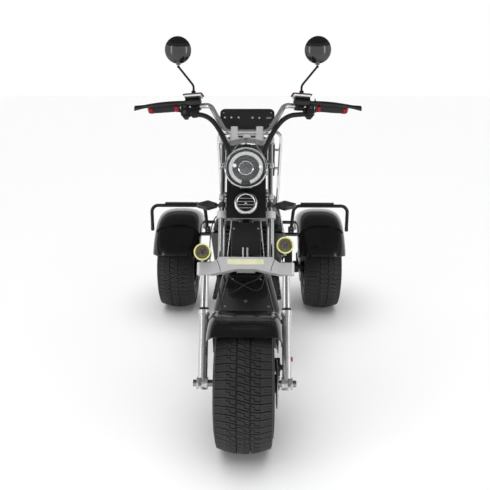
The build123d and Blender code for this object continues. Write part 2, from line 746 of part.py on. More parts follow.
def caliper():
    """A block that straddles a disc, drawn over the axle."""
    wide, half, tall = DISC_T / 2 + CALIPER_GAP + CALIPER_W / 2, CALIPER_LONG / 2, CALIPER_TALL / 2
    block = slab((-wide, -half, -tall), (wide, half, tall), CALIPER_GAP)
    slot = DISC_T / 2 + CALIPER_GAP
    slot_top = (CALIPER_TALL - CALIPER_W) / 2
    block -= slab((-slot, -CALIPER_LONG, -CALIPER_TALL), (slot, CALIPER_LONG, slot_top))
    return block


def front_caliper():
    """Brake caliper behind the left leg, on an arm from the slider."""
    up = DISC_R + CALIPER_GAP - (CALIPER_TALL - CALIPER_W) / 2
    block = Location((DISC_X, 0, 0)) * Rot(-CALIPER_TURN, 0, 0) * Location((0, 0, up)) * caliper()
    behind, above = up * sin(radians(CALIPER_TURN)), up * cos(radians(CALIPER_TURN))
    near = FORK_HALF - SLIDER_R + SKIN / 2
    arm_low = (DISC_X + DISC_T / 2 + CALIPER_GAP, 0, above - CALIPER_W / 2)
    arm = slab(arm_low, (near, behind, above + CALIPER_W / 2))
    arm -= rod((FORK_HALF, 0, -OVER), (FORK_HALF, 0, SLIDER_TOP), SLIDER_R + RUN_FIT)
    return on_fork(block + arm)


def cord(name, points, radius):
    """A cable along its route; prints its radii and how its volume fits its length."""
    radii = turn_radii(points)
    path = FilletPolyline(*points, radius=radii)
    solid = sweep(Plane(origin=path @ 0, z_dir=path % 0) * Circle(radius), path=path)
    fill = solid.volume / (pi * radius ** 2 * path.length)
    print(name, "radii", [round(value) for value in radii], "volume share", round(fill, 4))
    return solid


CABLE_R = 10
CABLE_ROUTE = (
    (235, 84, 1062), (202, 74, 1056), (170, 58, 1044), (138, 36, 1014), (113, 8, 970), (97, -13, 934),
    (78, -12.4, 893), (59, -11, 842), (58, -11.6, 775), (57, -11.7, 706), (53, -11.6, 640),
)
HOSE_R = 4
HOSE_ROUTE = (
    (-44, 54.4, 572), (-45, 84, 571), (-62, 112, 556), (-90, 126, 526), (-110, 134, 486),
    (-118, 140, 440), (-112, 148, 386), (-104, 158, 330), (-98, 170, 280), (-86, 186, 236),
)


def cable_sleeves():
    """Ribbed black sleeves that carry the wires from the bar down inside the tubes."""
    return on_fork(both(cord("cable_sleeves", CABLE_ROUTE, CABLE_R)))


def brake_hose():
    """Thin hose from the head cover round to the shield."""
    return on_fork(cord("brake_hose", HOSE_ROUTE, HOSE_R))


# Frame

HEAD_TUBE_R = 27
HEAD_LOW = YOKE_TOP + 2
HEAD_HIGH = CLAMP_LOW - 2
COVER_HALF = 56
COVER_FRONT = 16
COVER_BACK = 54
RAIL_JOIN = (24, 22)
COVER_GAP = 12
KNEE_X = 86
KNEE_BACK = 405
KNEE_UP = 500
SHIN_X = 127
SHIN_BACK = 448
SHIN_UP = 330
FLOOR_BACK = 505
RISE_BACK = WHEELBASE - 430
RISE_TOP_BACK = WHEELBASE - 330
TAIL_UP = 490
TAIL_BACK = WHEELBASE + 230
FRAME_BEND = 42


def fork_point(across, behind, up):
    """World place of a point given along the fork."""
    return (FORK_PLACE * Location((across, behind, up))).position


def main_frame():
    """Head tube, two continuous side rails and the cross tubes between them."""
    stem = (0, STEER_OFFSET)
    tubes = on_fork(sleeve((*stem, HEAD_LOW), (*stem, HEAD_HIGH), HEAD_TUBE_R, STEM_R + RUN_FIT))
    head = fork_point(RAIL_JOIN[0], STEER_OFFSET + RAIL_JOIN[1], HEAD_LOW + 2 * HEAD_TUBE_R)
    for side in SIDES:
        points = [
            (side * head.X, head.Y, head.Z),
            (side * KNEE_X, back(KNEE_BACK), KNEE_UP),
            (side * SHIN_X, back(SHIN_BACK), SHIN_UP),
            (side * RAIL_HALF, back(FLOOR_BACK), RAIL_UP),
            (side * RAIL_HALF, back(RISE_BACK), RAIL_UP),
            (side * RAIL_HALF, back(RISE_TOP_BACK), CROSS_UP),
            (side * RAIL_HALF, back(TAIL_BACK), TAIL_UP),
        ]
        tubes += bent_bar(points, RAIL_R, [FRAME_BEND] * 5)
    spans = [
        (FLOOR_BACK + RAIL_R, RAIL_UP, RAIL_HALF), (RISE_BACK + 2 * RAIL_R, RAIL_UP + RAIL_R, RAIL_HALF),
        (TAIL_BACK - CROSS_R, TAIL_UP, RAIL_HALF),
    ]
    spans += [(behind, CROSS_UP, FENDER_IN - SEAT_FIT) for behind in CROSS_BACKS]
    for behind, up, half in spans:
        tubes += rod((-half, back(behind), up), (half, back(behind), up), CROSS_R)
    return tubes


def front_panel():
    """Moulded cover round the head tube, between the fork's tubes."""
    low, high = HEAD_LOW + COVER_GAP, HEAD_HIGH - COVER_GAP
    cover = slab((-COVER_HALF, COVER_FRONT, low), (COVER_HALF, COVER_BACK, high), COVER_GAP)
    cover -= rod((0, STEER_OFFSET, low - OVER), (0, STEER_OFFSET, high + OVER), HEAD_TUBE_R + RUN_FIT)
    return on_fork(cover)


def front_shield():
    """Sloping guard plate between the two front rails."""
    fall = Vector(0, SHIN_BACK - KNEE_BACK, SHIN_UP - KNEE_UP)
    gap = RAIL_R + SEAT_FIT
    spread = (SHIN_X - KNEE_X) / fall.length
    slant = sqrt(1 + spread ** 2) * gap
    plane = Plane(origin=(0, back(KNEE_BACK), KNEE_UP), x_dir=(1, 0, 0), z_dir=Vector(1, 0, 0).cross(fall))
    low_half, high_half = SHIN_X - slant, KNEE_X - slant
    outline = Polyline(
        (-high_half, 0), (high_half, 0), (low_half, fall.length), (-low_half, fall.length), close=True,
    )
    return extrude(plane * make_face(outline), SKIN / 2, both=True)


BOX_GAP = 2
BOX_LOW = 268
DECK_SKIN = 12
MAT_T = 5
MAT_INSET = 12
BASE_WIDE = 172
BASE_SHOULDER_UP = 575


def battery_box():
    """Sealed battery case slung between the side rails."""
    half = RAIL_HALF - RAIL_R - SEAT_FIT
    front, rear = back(FLOOR_BACK + 2 * RAIL_R + BOX_GAP), back(RISE_BACK)
    case = slab((-half, front, BOX_LOW), (half, rear, DECK_UP - DECK_SKIN - SEAT_FIT), CROSS_R)
    return case


def deck():
    """Foot deck over the battery case."""
    low = (-DECK_HALF, back(DECK_FRONT), DECK_UP - DECK_SKIN)
    return slab(low, (DECK_HALF, back(SEAT_FRONT + DECK_HALF), DECK_UP), DECK_SKIN)


def deck_mat():
    """Rubber mat on the deck."""
    half = DECK_HALF - MAT_INSET
    low = (-half, back(DECK_FRONT + MAT_INSET), DECK_UP + SEAT_FIT)
    return slab(low, (half, back(SEAT_FRONT - MAT_INSET), DECK_UP + MAT_T), MAT_INSET)


def seat_base():
    """Body shell under the seat, widest near its top."""
    top = SEAT_UNDER
    base = facing([
        (-DECK_HALF, DECK_UP + SEAT_FIT), (DECK_HALF, DECK_UP + SEAT_FIT), (BASE_WIDE, BASE_SHOULDER_UP),
        (BASE_WIDE - SKIN, top), (-BASE_WIDE + SKIN, top), (-BASE_WIDE, BASE_SHOULDER_UP),
    ], back(SEAT_FRONT), SEAT_BACK - SEAT_FRONT)
    tunnel_low = (-BASE_WIDE, back(RISE_BACK - RAIL_R), DECK_UP)
    return base - slab(tunnel_low, (BASE_WIDE, back(SEAT_BACK) + OVER, TAIL_UP + RAIL_R))


SEAT_LIFT = 5
PAN_T = 10
SEAT_HALF = 160
CUSHION_TOP_HALF = 120
SHOULDER_SHARE = 0.55
HINGE_R = 5
HINGE_HALF = 60
HINGE_DROP = 40
HINGE_FORE = 12


def seat_pan():
    """Stiff base of the seat with its hinge knuckle at the front."""
    low = SEAT_UNDER + SEAT_LIFT
    pan = slab((-SEAT_HALF, back(SEAT_FRONT), low), (SEAT_HALF, back(SEAT_BACK), low + PAN_T), MAT_INSET)
    knuckle_y = back(SEAT_FRONT - HINGE_FORE)
    pin = (knuckle_y, low + PAN_T / 2)
    pan += rod((-HINGE_HALF, *pin), (HINGE_HALF, *pin), HINGE_R + SKIN)
    pan += slab((-HINGE_HALF, knuckle_y, low), (HINGE_HALF, back(SEAT_FRONT) + PAN_T, low + PAN_T))
    return pan - rod((-HINGE_HALF - OVER, *pin), (HINGE_HALF + OVER, *pin), HINGE_R + RUN_FIT)


def seat_hinge():
    """Pin of the seat hinge in two round ears, whose legs lie on the body."""
    knuckle_y, knuckle_up = back(SEAT_FRONT - HINGE_FORE), SEAT_UNDER + SEAT_LIFT + PAN_T / 2
    ear_x = HINGE_HALF + BOX_GAP
    pin = rod((-ear_x - SKIN, knuckle_y, knuckle_up), (ear_x + SKIN, knuckle_y, knuckle_up), HINGE_R)
    foot = SEAT_UNDER - HINGE_DROP
    for side in SIDES:
        ends = sorted((side * ear_x, side * (ear_x + SKIN)))
        pin += rod((ends[0], knuckle_y, knuckle_up), (ends[1], knuckle_y, knuckle_up), HINGE_R + SKIN)
        pin += slab((ends[0], knuckle_y - HINGE_R, foot), (ends[1], knuckle_y + HINGE_R, knuckle_up))
        ear_high = (ends[1], back(SEAT_FRONT) - SEAT_FIT, SEAT_UNDER - SEAT_LIFT)
        pin += slab((ends[0], knuckle_y, foot), ear_high)
    return pin


def seat_cushion():
    """Thick saddle with sloping sides."""
    low = SEAT_UNDER + SEAT_LIFT + PAN_T + SEAT_FIT
    shoulder = low + (SEAT_TOP - low) * SHOULDER_SHARE
    pad = facing([
        (-SEAT_HALF, low), (SEAT_HALF, low), (SEAT_HALF - PAN_T, shoulder), (CUSHION_TOP_HALF, SEAT_TOP),
        (-CUSHION_TOP_HALF, SEAT_TOP), (-SEAT_HALF + PAN_T, shoulder),
    ], back(SEAT_FRONT), SEAT_BACK - SEAT_FRONT)
    return fillet(pad.edges().filter_by(Axis.Y).group_by(Axis.Z)[-1], PAN_T)


# Rear end

MOTOR_R = 78
MOTOR_HALF = 70
HOUSING_R = 26
HUB_REACH = 40
REAR_DISC_IN = 115
DISC_CLEAR = 24
HOUSING_HALF = TRACK / 2 - REAR_DISC_IN - DISC_CLEAR
ARM_HALF = 88
ARM_R = 13
SHOCK_X = 176
SHOCK_EYE_HALF = 12
SHOCK_LOW_FORE = 52
SHOCK_LOW_UP = 66
SPRING_R = 24
SPRING_WIRE = 5
SPRING_TURNS = 7


def rear_axle_housing():
    """Axle tube with the drive motor in its middle and a lug for each shock."""
    centre = (0, REAR_AXLE_Y, TYRE_R)
    unit = rod((-HOUSING_HALF, *centre[1:]), (HOUSING_HALF, *centre[1:]), HOUSING_R)
    unit += rod((-MOTOR_HALF, *centre[1:]), (MOTOR_HALF, *centre[1:]), MOTOR_R)
    for side in SIDES:
        eye = (side * SHOCK_X, REAR_AXLE_Y - SHOCK_LOW_FORE, TYRE_R + SHOCK_LOW_UP)
        lug_x = side * (SHOCK_X + SHOCK_EYE_HALF + SEAT_FIT)
        lug_end = lug_x + side * SKIN
        unit += rod((eye[0] - side * SHOCK_EYE_HALF, *eye[1:]), (lug_end, *eye[1:]), HINGE_R)
        ends = sorted((lug_x, lug_end))
        plane = Plane(origin=(ends[0], REAR_AXLE_Y, TYRE_R), x_dir=(0, 1, 0), z_dir=(1, 0, 0))
        web = make_face(Polyline(
            (-HOUSING_R, 0), (HOUSING_R, 0), (-SHOCK_LOW_FORE + 2 * HINGE_R, SHOCK_LOW_UP + 2 * HINGE_R),
            (-SHOCK_LOW_FORE - 2 * HINGE_R, SHOCK_LOW_UP + 2 * HINGE_R), close=True,
        ))
        unit += extrude(plane * web, SKIN)
        bore = (side * (HOUSING_HALF - HUB_REACH), side * (HOUSING_HALF + OVER))
        unit -= rod((bore[0], *centre[1:]), (bore[1], *centre[1:]), SHAFT_R + RUN_FIT)
    return unit


def swingarm():
    """Two arms from the frame's rear cross tube back to the axle tube."""
    pivot = (back(RISE_BACK + 2 * RAIL_R), RAIL_UP + RAIL_R)
    axle = (REAR_AXLE_Y, TYRE_R)
    arms = rod((-ARM_HALF - ARM_R, *pivot), (ARM_HALF + ARM_R, *pivot), CROSS_R + 2 * SKIN)
    run = (Vector(0, *axle) - Vector(0, *pivot)).normalized()
    for side in SIDES:
        start = Vector(side * ARM_HALF, *pivot) + run * (CROSS_R + SKIN)
        end = Vector(side * ARM_HALF, *axle) - run * (HOUSING_R + SKIN)
        arms += rod(start, end, ARM_R)
        eye_in, eye_out = [side * (ARM_HALF + way * (ARM_R + SKIN)) for way in SIDES]
        arms += rod((eye_in, *axle), (eye_out, *axle), HOUSING_R + 2 * SKIN)
    arms -= rod((-HOUSING_HALF, *axle), (HOUSING_HALF, *axle), HOUSING_R + RUN_FIT)
    arms -= rod((-HOUSING_HALF, *pivot), (HOUSING_HALF, *pivot), CROSS_R + RUN_FIT)
    return arms


def rear_shocks():
    """Coil-over units from the axle's lugs up to the front cross tube."""
    top = Vector(SHOCK_X, back(CROSS_BACKS[0]), CROSS_UP)
    low = Vector(SHOCK_X, REAR_AXLE_Y - SHOCK_LOW_FORE, TYRE_R + SHOCK_LOW_UP)
    way = (top - low).normalized()
    eye_wall = SKIN + CROSS_R
    reach = (top - low).length
    unit = rod(low, top, CROSS_R)
    spring_from, spring_to = eye_wall + SPRING_WIRE, reach - eye_wall - SPRING_WIRE
    pitch = (spring_to - spring_from) / SPRING_TURNS
    for turn in range(SPRING_TURNS + 1):
        at = low + way * (spring_from + pitch * turn)
        unit += sleeve(at - way * SPRING_WIRE, at + way * SPRING_WIRE, SPRING_R, CROSS_R - SKIN / 2)
    for eye, hole in ((top, CROSS_R), (low, HINGE_R)):
        ends = [(SHOCK_X + side * SHOCK_EYE_HALF, eye.Y, eye.Z) for side in SIDES]
        unit += rod(*ends, hole + SKIN + SKIN / 2)
    for eye, hole in ((top, CROSS_R), (low, HINGE_R)):
        ends = [(SHOCK_X + 2 * side * SHOCK_EYE_HALF, eye.Y, eye.Z) for side in SIDES]
        unit -= rod(*ends, hole + RUN_FIT)
    return both(unit)


def rear_wheels():
    """Tyre, and rim with its drive shaft and disc, on each side."""
    nodes = {}
    for side, name in ((-1, "right"), (1, "left")):
        place = Location((side * TRACK / 2, REAR_AXLE_Y, TYRE_R))
        nodes["rear_tyre_" + name] = place * tyre()
        inner = TRACK / 2 - HOUSING_HALF
        wheel = rim(0, -REAR_DISC_IN - DISC_T, HUB_R * 2)
        wheel += rod((-inner - HUB_REACH + BOX_GAP, 0, 0), (0, 0, 0), SHAFT_R)
        wheel = Compound(children=[wheel, brake_disc(-REAR_DISC_IN)])
        if side < 0:
            wheel = mirror(wheel, about=Plane.YZ)
        nodes["rear_rim_" + name] = place * wheel
    return nodes


def rear_calipers():
    """Brake calipers on arms from the axle tube."""
    up = DISC_R + CALIPER_GAP - (CALIPER_TALL - CALIPER_W) / 2
    disc_x = TRACK / 2 - REAR_DISC_IN
    block = Location((0, 0, up)) * caliper()
    arm_x = -(DISC_T / 2 + CALIPER_GAP)
    arm = slab((arm_x - CALIPER_W, -CALIPER_LONG / 4, 0), (arm_x - CALIPER_W / 4, CALIPER_LONG / 4, up))
    arm += rod((arm_x - 2 * CALIPER_W, 0, 0), (arm_x - CALIPER_W / 4, 0, 0), HOUSING_R + 2 * SKIN)
    arm -= rod((arm_x - CALIPER_LONG, 0, 0), (0, 0, 0), HOUSING_R + RUN_FIT)
    block += arm
    return both(Location((disc_x, REAR_AXLE_Y, TYRE_R)) * Rot(-REAR_CALIPER_TURN, 0, 0) * block)


FENDER_SIDE_R = 252
FENDER_BEND_IN = 62
FENDER_BEND_OUT = 80
FENDER_AHEAD = 63
FENDER_BEHIND = 60


def rear_fenders():
    """Broad arched guards over the rear tyres."""
    ends, bends = (FENDER_IN, FENDER_OUT), (FENDER_BEND_IN, FENDER_BEND_OUT)
    shell = arch(FENDER_R, ends, bends, FENDER_SIDE_R, SKIN, FENDER_AHEAD, FENDER_BEHIND)
    return both(Location((0, REAR_AXLE_Y, TYRE_R)) * shell)


HOOP_UP = 628
HOOP_FOOT_X = 226
HOOP_SHOULDER_X = 240
HOOP_OUT_UP = 492
HOOP_BEND = 36
PAD_SHORT = 65
PAD_T = 7
PAD_DEEP = 26
PAD_HOLE_R = 3.3
PAD_HOLE_SHARE = 0.8
PAD_IN = HOOP_SHOULDER_X + HOOP_BEND
PAD_LONG = FENDER_OUT - PAD_SHORT - PAD_IN


def fender_hoops():
    """Black tube hoop over each fender, from a cross tube to beside the fender's outer wall."""
    outer, behind = FENDER_OUT + SEAT_FIT + HOOP_R, back(CROSS_BACKS[0])
    lean = HOOP_R * (HOOP_SHOULDER_X - HOOP_FOOT_X) / (HOOP_UP - CROSS_UP)
    points = [
        (HOOP_FOOT_X, behind, CROSS_UP + CROSS_R + lean + SEAT_FIT),
        (HOOP_SHOULDER_X, behind, HOOP_UP),
        (outer, behind, HOOP_UP),
        (outer, behind, HOOP_OUT_UP),
    ]
    return both(bent_bar(points, HOOP_R, [HOOP_BEND, HOOP_BEND]))


def rack_pads():
    """Flat strip along the top of each hoop, held by two screws."""
    low, middle = HOOP_UP + HOOP_R + SEAT_FIT, back(CROSS_BACKS[0])
    ends = (PAD_IN, PAD_IN + PAD_LONG)
    pad = slab((ends[0], middle - PAD_DEEP / 2, low), (ends[1], middle + PAD_DEEP / 2, low + PAD_T), SKIN)
    for way in SIDES:
        x = PAD_IN + PAD_LONG / 2 * (1 + way * PAD_HOLE_SHARE)
        pad -= rod((x, middle, low - OVER), (x, middle, low + PAD_T + OVER), PAD_HOLE_R)
    return both(pad)


BAR_FOOT_BACK = WHEELBASE - 98
SISSY_R = 9
SISSY_CROSS_R = 7
SISSY_HALF = 156
SISSY_TOP_HALF = 172
SISSY_TOP = 1010
SISSY_LEAN = 70
BACKREST_LOW = 770
BACKREST_TOP = 960
BACKREST_HALF = 146
BACKREST_T = 46


def sissy_y(up):
    """World Y of the leaning bar at a height."""
    return back(BAR_FOOT_BACK + SISSY_LEAN * (up - CROSS_UP) / (SISSY_TOP - CROSS_UP))


def sissy_bar():
    """Chrome hoop behind the seat, its feet on the side rails."""
    foot_x = RAIL_HALF + RAIL_R + SISSY_R + SEAT_FIT
    points = [
        (foot_x, sissy_y(CROSS_UP), CROSS_UP), (foot_x, sissy_y(SEAT_UNDER), SEAT_UNDER),
        (SISSY_TOP_HALF, sissy_y(SISSY_TOP), SISSY_TOP),
    ]
    points += [(-x, y, z) for x, y, z in reversed(points)]
    hoop = bent_bar(points, SISSY_R, [HOOP_BEND * 2, HOOP_BEND, HOOP_BEND, HOOP_BEND * 2])
    for up in (BACKREST_LOW + BACKREST_T, BACKREST_TOP - BACKREST_T):
        half = foot_x + (SISSY_TOP_HALF - foot_x) * (up - SEAT_UNDER) / (SISSY_TOP - SEAT_UNDER)
        hoop += rod((-half, sissy_y(up), up), (half, sissy_y(up), up), SISSY_CROSS_R)
    return hoop


def backrest():
    """Pad on the front of the hoop."""
    low, high = BACKREST_LOW, BACKREST_TOP
    turn = degrees(atan(SISSY_LEAN / (SISSY_TOP - CROSS_UP)))
    pad = slab((-BACKREST_HALF, -BACKREST_T, 0), (BACKREST_HALF, 0, high - low), MAT_INSET)
    place = Location((0, sissy_y(low) - SISSY_CROSS_R - 2 * SEAT_FIT, low)) * Rot(-turn, 0, 0)
    return place * pad


TAIL_HALF = 62
TAIL_LOW = 482
TAIL_HIGH = 530
PLATE_HALF = 100
PLATE_LOW = 360
PLATE_T = 3
PLATE_HOLE_R = 3.3
PLATE_HOLE_SPAN = 140
PLATE_HOLE_UP = 455
LAMP_DEEP = 34
REAR_SIGNAL_X = 100


def rear_lamps():
    """Tail lamp and two indicators on the frame's last cross tube."""
    front = back(TAIL_BACK) + SEAT_FIT
    lamp = slab((-TAIL_HALF, front, TAIL_LOW), (TAIL_HALF, front + LAMP_DEEP, TAIL_HIGH), CROSS_R)
    at = (front + LAMP_DEEP / 2, TAIL_UP)
    stem = rod((TAIL_HALF - SKIN, *at), (REAR_SIGNAL_X + SKIN, *at), SIGNAL_STEM_R)
    stem += Location((REAR_SIGNAL_X, *at)) * signal_body(SIGNAL_OUT - SIGNAL_STEM)
    return lamp + stem + mirror(stem, about=Plane.YZ)


def plate_bracket():
    """Blank plate holder that hangs under the tail lamp."""
    rear = back(WHEELBASE + REAR_REACH)
    front = back(TAIL_BACK) + SEAT_FIT
    top = TAIL_LOW - SEAT_FIT
    holder = slab((-PLATE_HALF, rear - PLATE_T, PLATE_LOW), (PLATE_HALF, rear, top))
    holder += slab((-TAIL_HALF, front, top - SKIN), (TAIL_HALF, rear, top))
    for side in SIDES:
        x = side * PLATE_HOLE_SPAN / 2
        hole = [(x, rear - PLATE_T - OVER, PLATE_HOLE_UP), (x, rear + OVER, PLATE_HOLE_UP)]
        holder -= rod(*hole, PLATE_HOLE_R)
    return holder


def build():
    nodes = {
        "fork_sliders": fork_sliders(),
        "fork_stanchions": fork_stanchions(),
        "front_axle": front_axle(),
        "lower_yoke": lower_yoke(),
        "fork_upper_tubes": fork_upper_tubes(),
        "middle_clamp": middle_clamp(),
        "top_yoke": top_yoke(),
        "handlebar_risers": handlebar_risers(),
        "handlebar": handlebar(),
        "grips": grips(),
        "switch_housings": switch_housings(),
        "brake_masters": brake_masters(),
        "brake_levers": brake_levers(),
        "mirror_stems": mirror_stems(),
        "mirror_heads": mirror_heads(),
        "lamp_bracket": lamp_bracket(),
        "headlight_bucket": headlight_bucket(),
        "headlight_ring": headlight_ring(),
        "headlight_lens": headlight_lens(),
        "horn": horn(),
        "dash_housing": dash_housing(),
        "turn_signals_front": turn_signals_front(),
        "spot_lamps": spot_lamps(),
        "spot_rings": spot_rings(),
        "front_fender": front_fender(),
        "front_caliper": front_caliper(),
        "cable_sleeves": cable_sleeves(),
        "brake_hose": brake_hose(),
        "main_frame": main_frame(),
        "front_panel": front_panel(),
        "front_shield": front_shield(),
        "battery_box": battery_box(),
        "deck": deck(),
        "deck_mat": deck_mat(),
        "seat_base": seat_base(),
        "seat_hinge": seat_hinge(),
        "seat_pan": seat_pan(),
        "seat_cushion": seat_cushion(),
        "rear_axle_housing": rear_axle_housing(),
        "swingarm": swingarm(),
        "rear_shocks": rear_shocks(),
        "rear_calipers": rear_calipers(),
        "rear_fenders": rear_fenders(),
        "fender_hoops": fender_hoops(),
        "rack_pads": rack_pads(),
        "sissy_bar": sissy_bar(),
        "backrest": backrest(),
        "rear_lamps": rear_lamps(),
        "plate_bracket": plate_bracket(),
    }
    nodes.update(front_wheel())
    nodes.update(rear_wheels())
    return nodes


os.makedirs("parts", exist_ok=True)
for node, shape in build().items():
    export_step(shape, "parts/" + node + ".step")
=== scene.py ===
from math import cos, pi, radians, sin, sqrt

import bmesh
import bpy
from mathutils import Matrix, Vector
from mathutils.bvhtree import BVHTree


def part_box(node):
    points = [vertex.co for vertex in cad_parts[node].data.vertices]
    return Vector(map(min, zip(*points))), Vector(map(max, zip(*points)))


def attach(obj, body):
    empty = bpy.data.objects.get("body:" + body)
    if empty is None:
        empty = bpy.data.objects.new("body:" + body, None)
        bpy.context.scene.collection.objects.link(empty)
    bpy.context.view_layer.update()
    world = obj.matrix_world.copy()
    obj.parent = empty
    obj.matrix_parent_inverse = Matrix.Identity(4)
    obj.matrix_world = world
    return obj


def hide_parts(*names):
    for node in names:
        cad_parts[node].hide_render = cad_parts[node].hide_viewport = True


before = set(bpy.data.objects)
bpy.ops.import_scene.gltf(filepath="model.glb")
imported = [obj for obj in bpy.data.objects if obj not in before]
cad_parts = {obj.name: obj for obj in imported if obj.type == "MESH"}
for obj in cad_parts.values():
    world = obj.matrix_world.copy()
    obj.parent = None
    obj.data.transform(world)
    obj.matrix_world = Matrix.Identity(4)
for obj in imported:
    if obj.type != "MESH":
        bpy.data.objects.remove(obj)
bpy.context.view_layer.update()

# The trike as it stands on its three tyres, seen by one lens in front of it.
# The lens is a short portrait one, a little above the bar and tilted down,
# and stands slightly to the rider's left of the middle.
front_low, front_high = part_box("front_tyre")
tyre_radius = (front_high.z - front_low.z) / 2
front_hub = (front_low + front_high) / 2
lens_ahead, lens_height, lens_aside = 1.842, 1.263, 0.039
lens_tilt, lens_turn = radians(14.9), radians(1.17)
photo_side, focal_in_pixels, axis_row = 490, 576, 237
camera_data = bpy.data.cameras.new("portrait_lens")
camera_data.sensor_width = 36
camera_data.lens = camera_data.sensor_width * focal_in_pixels / photo_side
camera_data.shift_y = (axis_row - photo_side / 2) / photo_side
camera = bpy.data.objects.new("portrait_lens", camera_data)
camera.location = (lens_aside, front_hub.y - lens_ahead, lens_height)
camera.rotation_euler = (pi / 2 - lens_tilt, 0, lens_turn)
bpy.context.scene.collection.objects.link(camera)
bpy.context.scene.camera = camera


# The studio: white paper floor under one wide even light from above, white walls all
# round up to head height, a dark ceiling over them and two tall softboxes in front.
class Signal:
    """One value inside a finish, so that shading is written as sums and products."""

    def __init__(self, finish, socket):
        self.finish, self.socket = finish, socket

    def math(self, operation, *others):
        return self.finish.node("ShaderNodeMath", {"operation": operation}, dict(enumerate(others)))

    def __add__(self, other):
        return self.math("ADD", self, other)

    def __mul__(self, other):
        return self.math("MULTIPLY", self, other)

    __radd__, __rmul__ = __add__, __mul__


class Finish:
    """A surface finish, and its one way of adding a node: type, settings, sockets."""

    def __init__(self, name, owner=None):
        self.material = owner or bpy.data.materials.new(name)
        self.material.use_nodes = True
        self.tree = self.material.node_tree
        self.shader = self.tree.nodes.get("Principled BSDF")

    def node(self, kind, settings=None, sockets=None, out=0):
        made = self.tree.nodes.new(kind)
        for key, value in (settings or {}).items():
            if key == "stops":
                for index, (place, colour) in enumerate(value):
                    stops = made.color_ramp.elements
                    stop = stops[index] if index < 2 else stops.new(place)
                    stop.position, stop.color = place, (*colour, 1)
            else:
                setattr(made, key, value)
        self.feed(made, sockets or {})
        return Signal(self, made.outputs[out])

    def feed(self, made, sockets):
        for key, value in sockets.items():
            if isinstance(value, Signal):
                self.tree.links.new(value.socket, made.inputs[key])
            else:
                made.inputs[key].default_value = value

    def set(self, **sockets):
        """Feeds the surface's own sockets; an underscore stands for a space."""
        self.feed(self.shader, {key.replace("_", " "): value for key, value in sockets.items()})
        return self

    def place(self):
        """Where a point of the piece lies, in metres."""
        return self.node("ShaderNodeTexCoord", out=3)

    def stretched(self, scale):
        """The same place, pulled out along one way."""
        return self.node("ShaderNodeMapping", {}, {"Vector": self.place(), "Scale": scale})

    def noise(self, scale, detail=4, where=None):
        sockets = {"Vector": where or self.place(), "Scale": scale, "Detail": detail}
        return self.node("ShaderNodeTexNoise", {}, sockets)

    def cells(self, scale, feature="F1"):
        sockets = {"Vector": self.place(), "Scale": scale}
        return self.node("ShaderNodeTexVoronoi", {"feature": feature}, sockets)

    def ramp(self, value, *stops):
        return self.node("ShaderNodeValToRGB", {"stops": stops}, {"Fac": value})

    def bump(self, height, strength, distance):
        sockets = {"Height": height, "Strength": strength, "Distance": distance}
        return self.node("ShaderNodeBump", {}, sockets)


def studio_floor(half_side):
    finish = Finish("seamless_paper")
    finish.set(Base_Color=(0.9, 0.9, 0.9, 1), Roughness=0.9, Specular_IOR_Level=0.2)
    shape = bmesh.new()
    bmesh.ops.create_grid(shape, x_segments=2, y_segments=2, size=half_side)
    mesh = bpy.data.meshes.new("studio_floor")
    shape.to_mesh(mesh)
    mesh.materials.append(finish.material)
    floor = bpy.data.objects.new("studio_floor", mesh)
    bpy.context.scene.collection.objects.link(floor)


def softbox(name, place, aim, size, power):
    data = bpy.data.lights.new(name, "AREA")
    data.shape, data.size, data.size_y, data.energy = "RECTANGLE", *size, power
    light = bpy.data.objects.new(name, data)
    light.location = place
    light.rotation_euler = (Vector(aim) - Vector(place)).to_track_quat("-Z", "Y").to_euler()
    bpy.context.scene.collection.objects.link(light)


def even_light(strength, spread, lean):
    """The white ceiling's even light, which itself doesn't show in the gloss."""
    data = bpy.data.lights.new("even_light", "SUN")
    data.energy, data.angle = strength, radians(spread)
    light = bpy.data.objects.new("even_light", data)
    light.rotation_euler = [radians(angle) for angle in lean]
    light.visible_glossy = False
    bpy.context.scene.collection.objects.link(light)


def studio_walls():
    """The room's light by height: white walls, a dark ceiling and a grey band in it."""
    world = bpy.data.worlds.new("studio_walls")
    world.use_nodes = True
    walls = Finish("studio_walls", world)
    view = walls.node("ShaderNodeTexCoord", out=0)
    height = walls.node("ShaderNodeSeparateXYZ", {}, {0: view}, 2)
    white, grey, dark, black = ((tone,) * 3 for tone in (1.0, 0.3, 0.11, 0.03))
    walls_end, band_start, band_end = (0.695, 0.715), (0.745, 0.755), (0.80, 0.83)
    stops = zip(walls_end + band_start + band_end, (white, black, black, grey, grey, dark))
    fade = walls.ramp(height * 0.5 + 0.5, *stops)
    walls.feed(world.node_tree.nodes["Background"], {"Color": fade})
    bpy.context.scene.world = world


studio_floor(60)
even_light(2.6, 70, (8, -4, 0))
for side, name in ((-1, "softbox_right"), (1, "softbox_left")):
    softbox(name, (side * 2.6, -2.2, 1.5), (0, -0.2, 0.7), (0.5, 2.4), 12)
studio_walls()
bpy.context.scene.view_settings.view_transform = "Standard"


# Tyres: three low fat ones with the same road tread, moulded in one from black rubber,
# dull on the blocks and with no lettering. A wavy groove crosses the tread at each pitch,
# two straight ones run round it, and a hooked slot cuts each block of the middle rows.
def rubber(name, tone, rough, grain):
    finish = Finish(name)
    cloud = finish.noise(9, 5)
    fine = finish.noise(grain, 6)
    shade = finish.ramp(cloud * 0.7 + fine * 0.3, (0.3, (tone * 0.7,) * 3), (0.7, (tone * 1.5,) * 3))
    finish.set(Base_Color=shade, Roughness=rough - 0.12 + cloud * 0.24, Specular_IOR_Level=0.42)
    finish.set(Normal=finish.bump(fine, 0.25, 0.0004))
    return finish


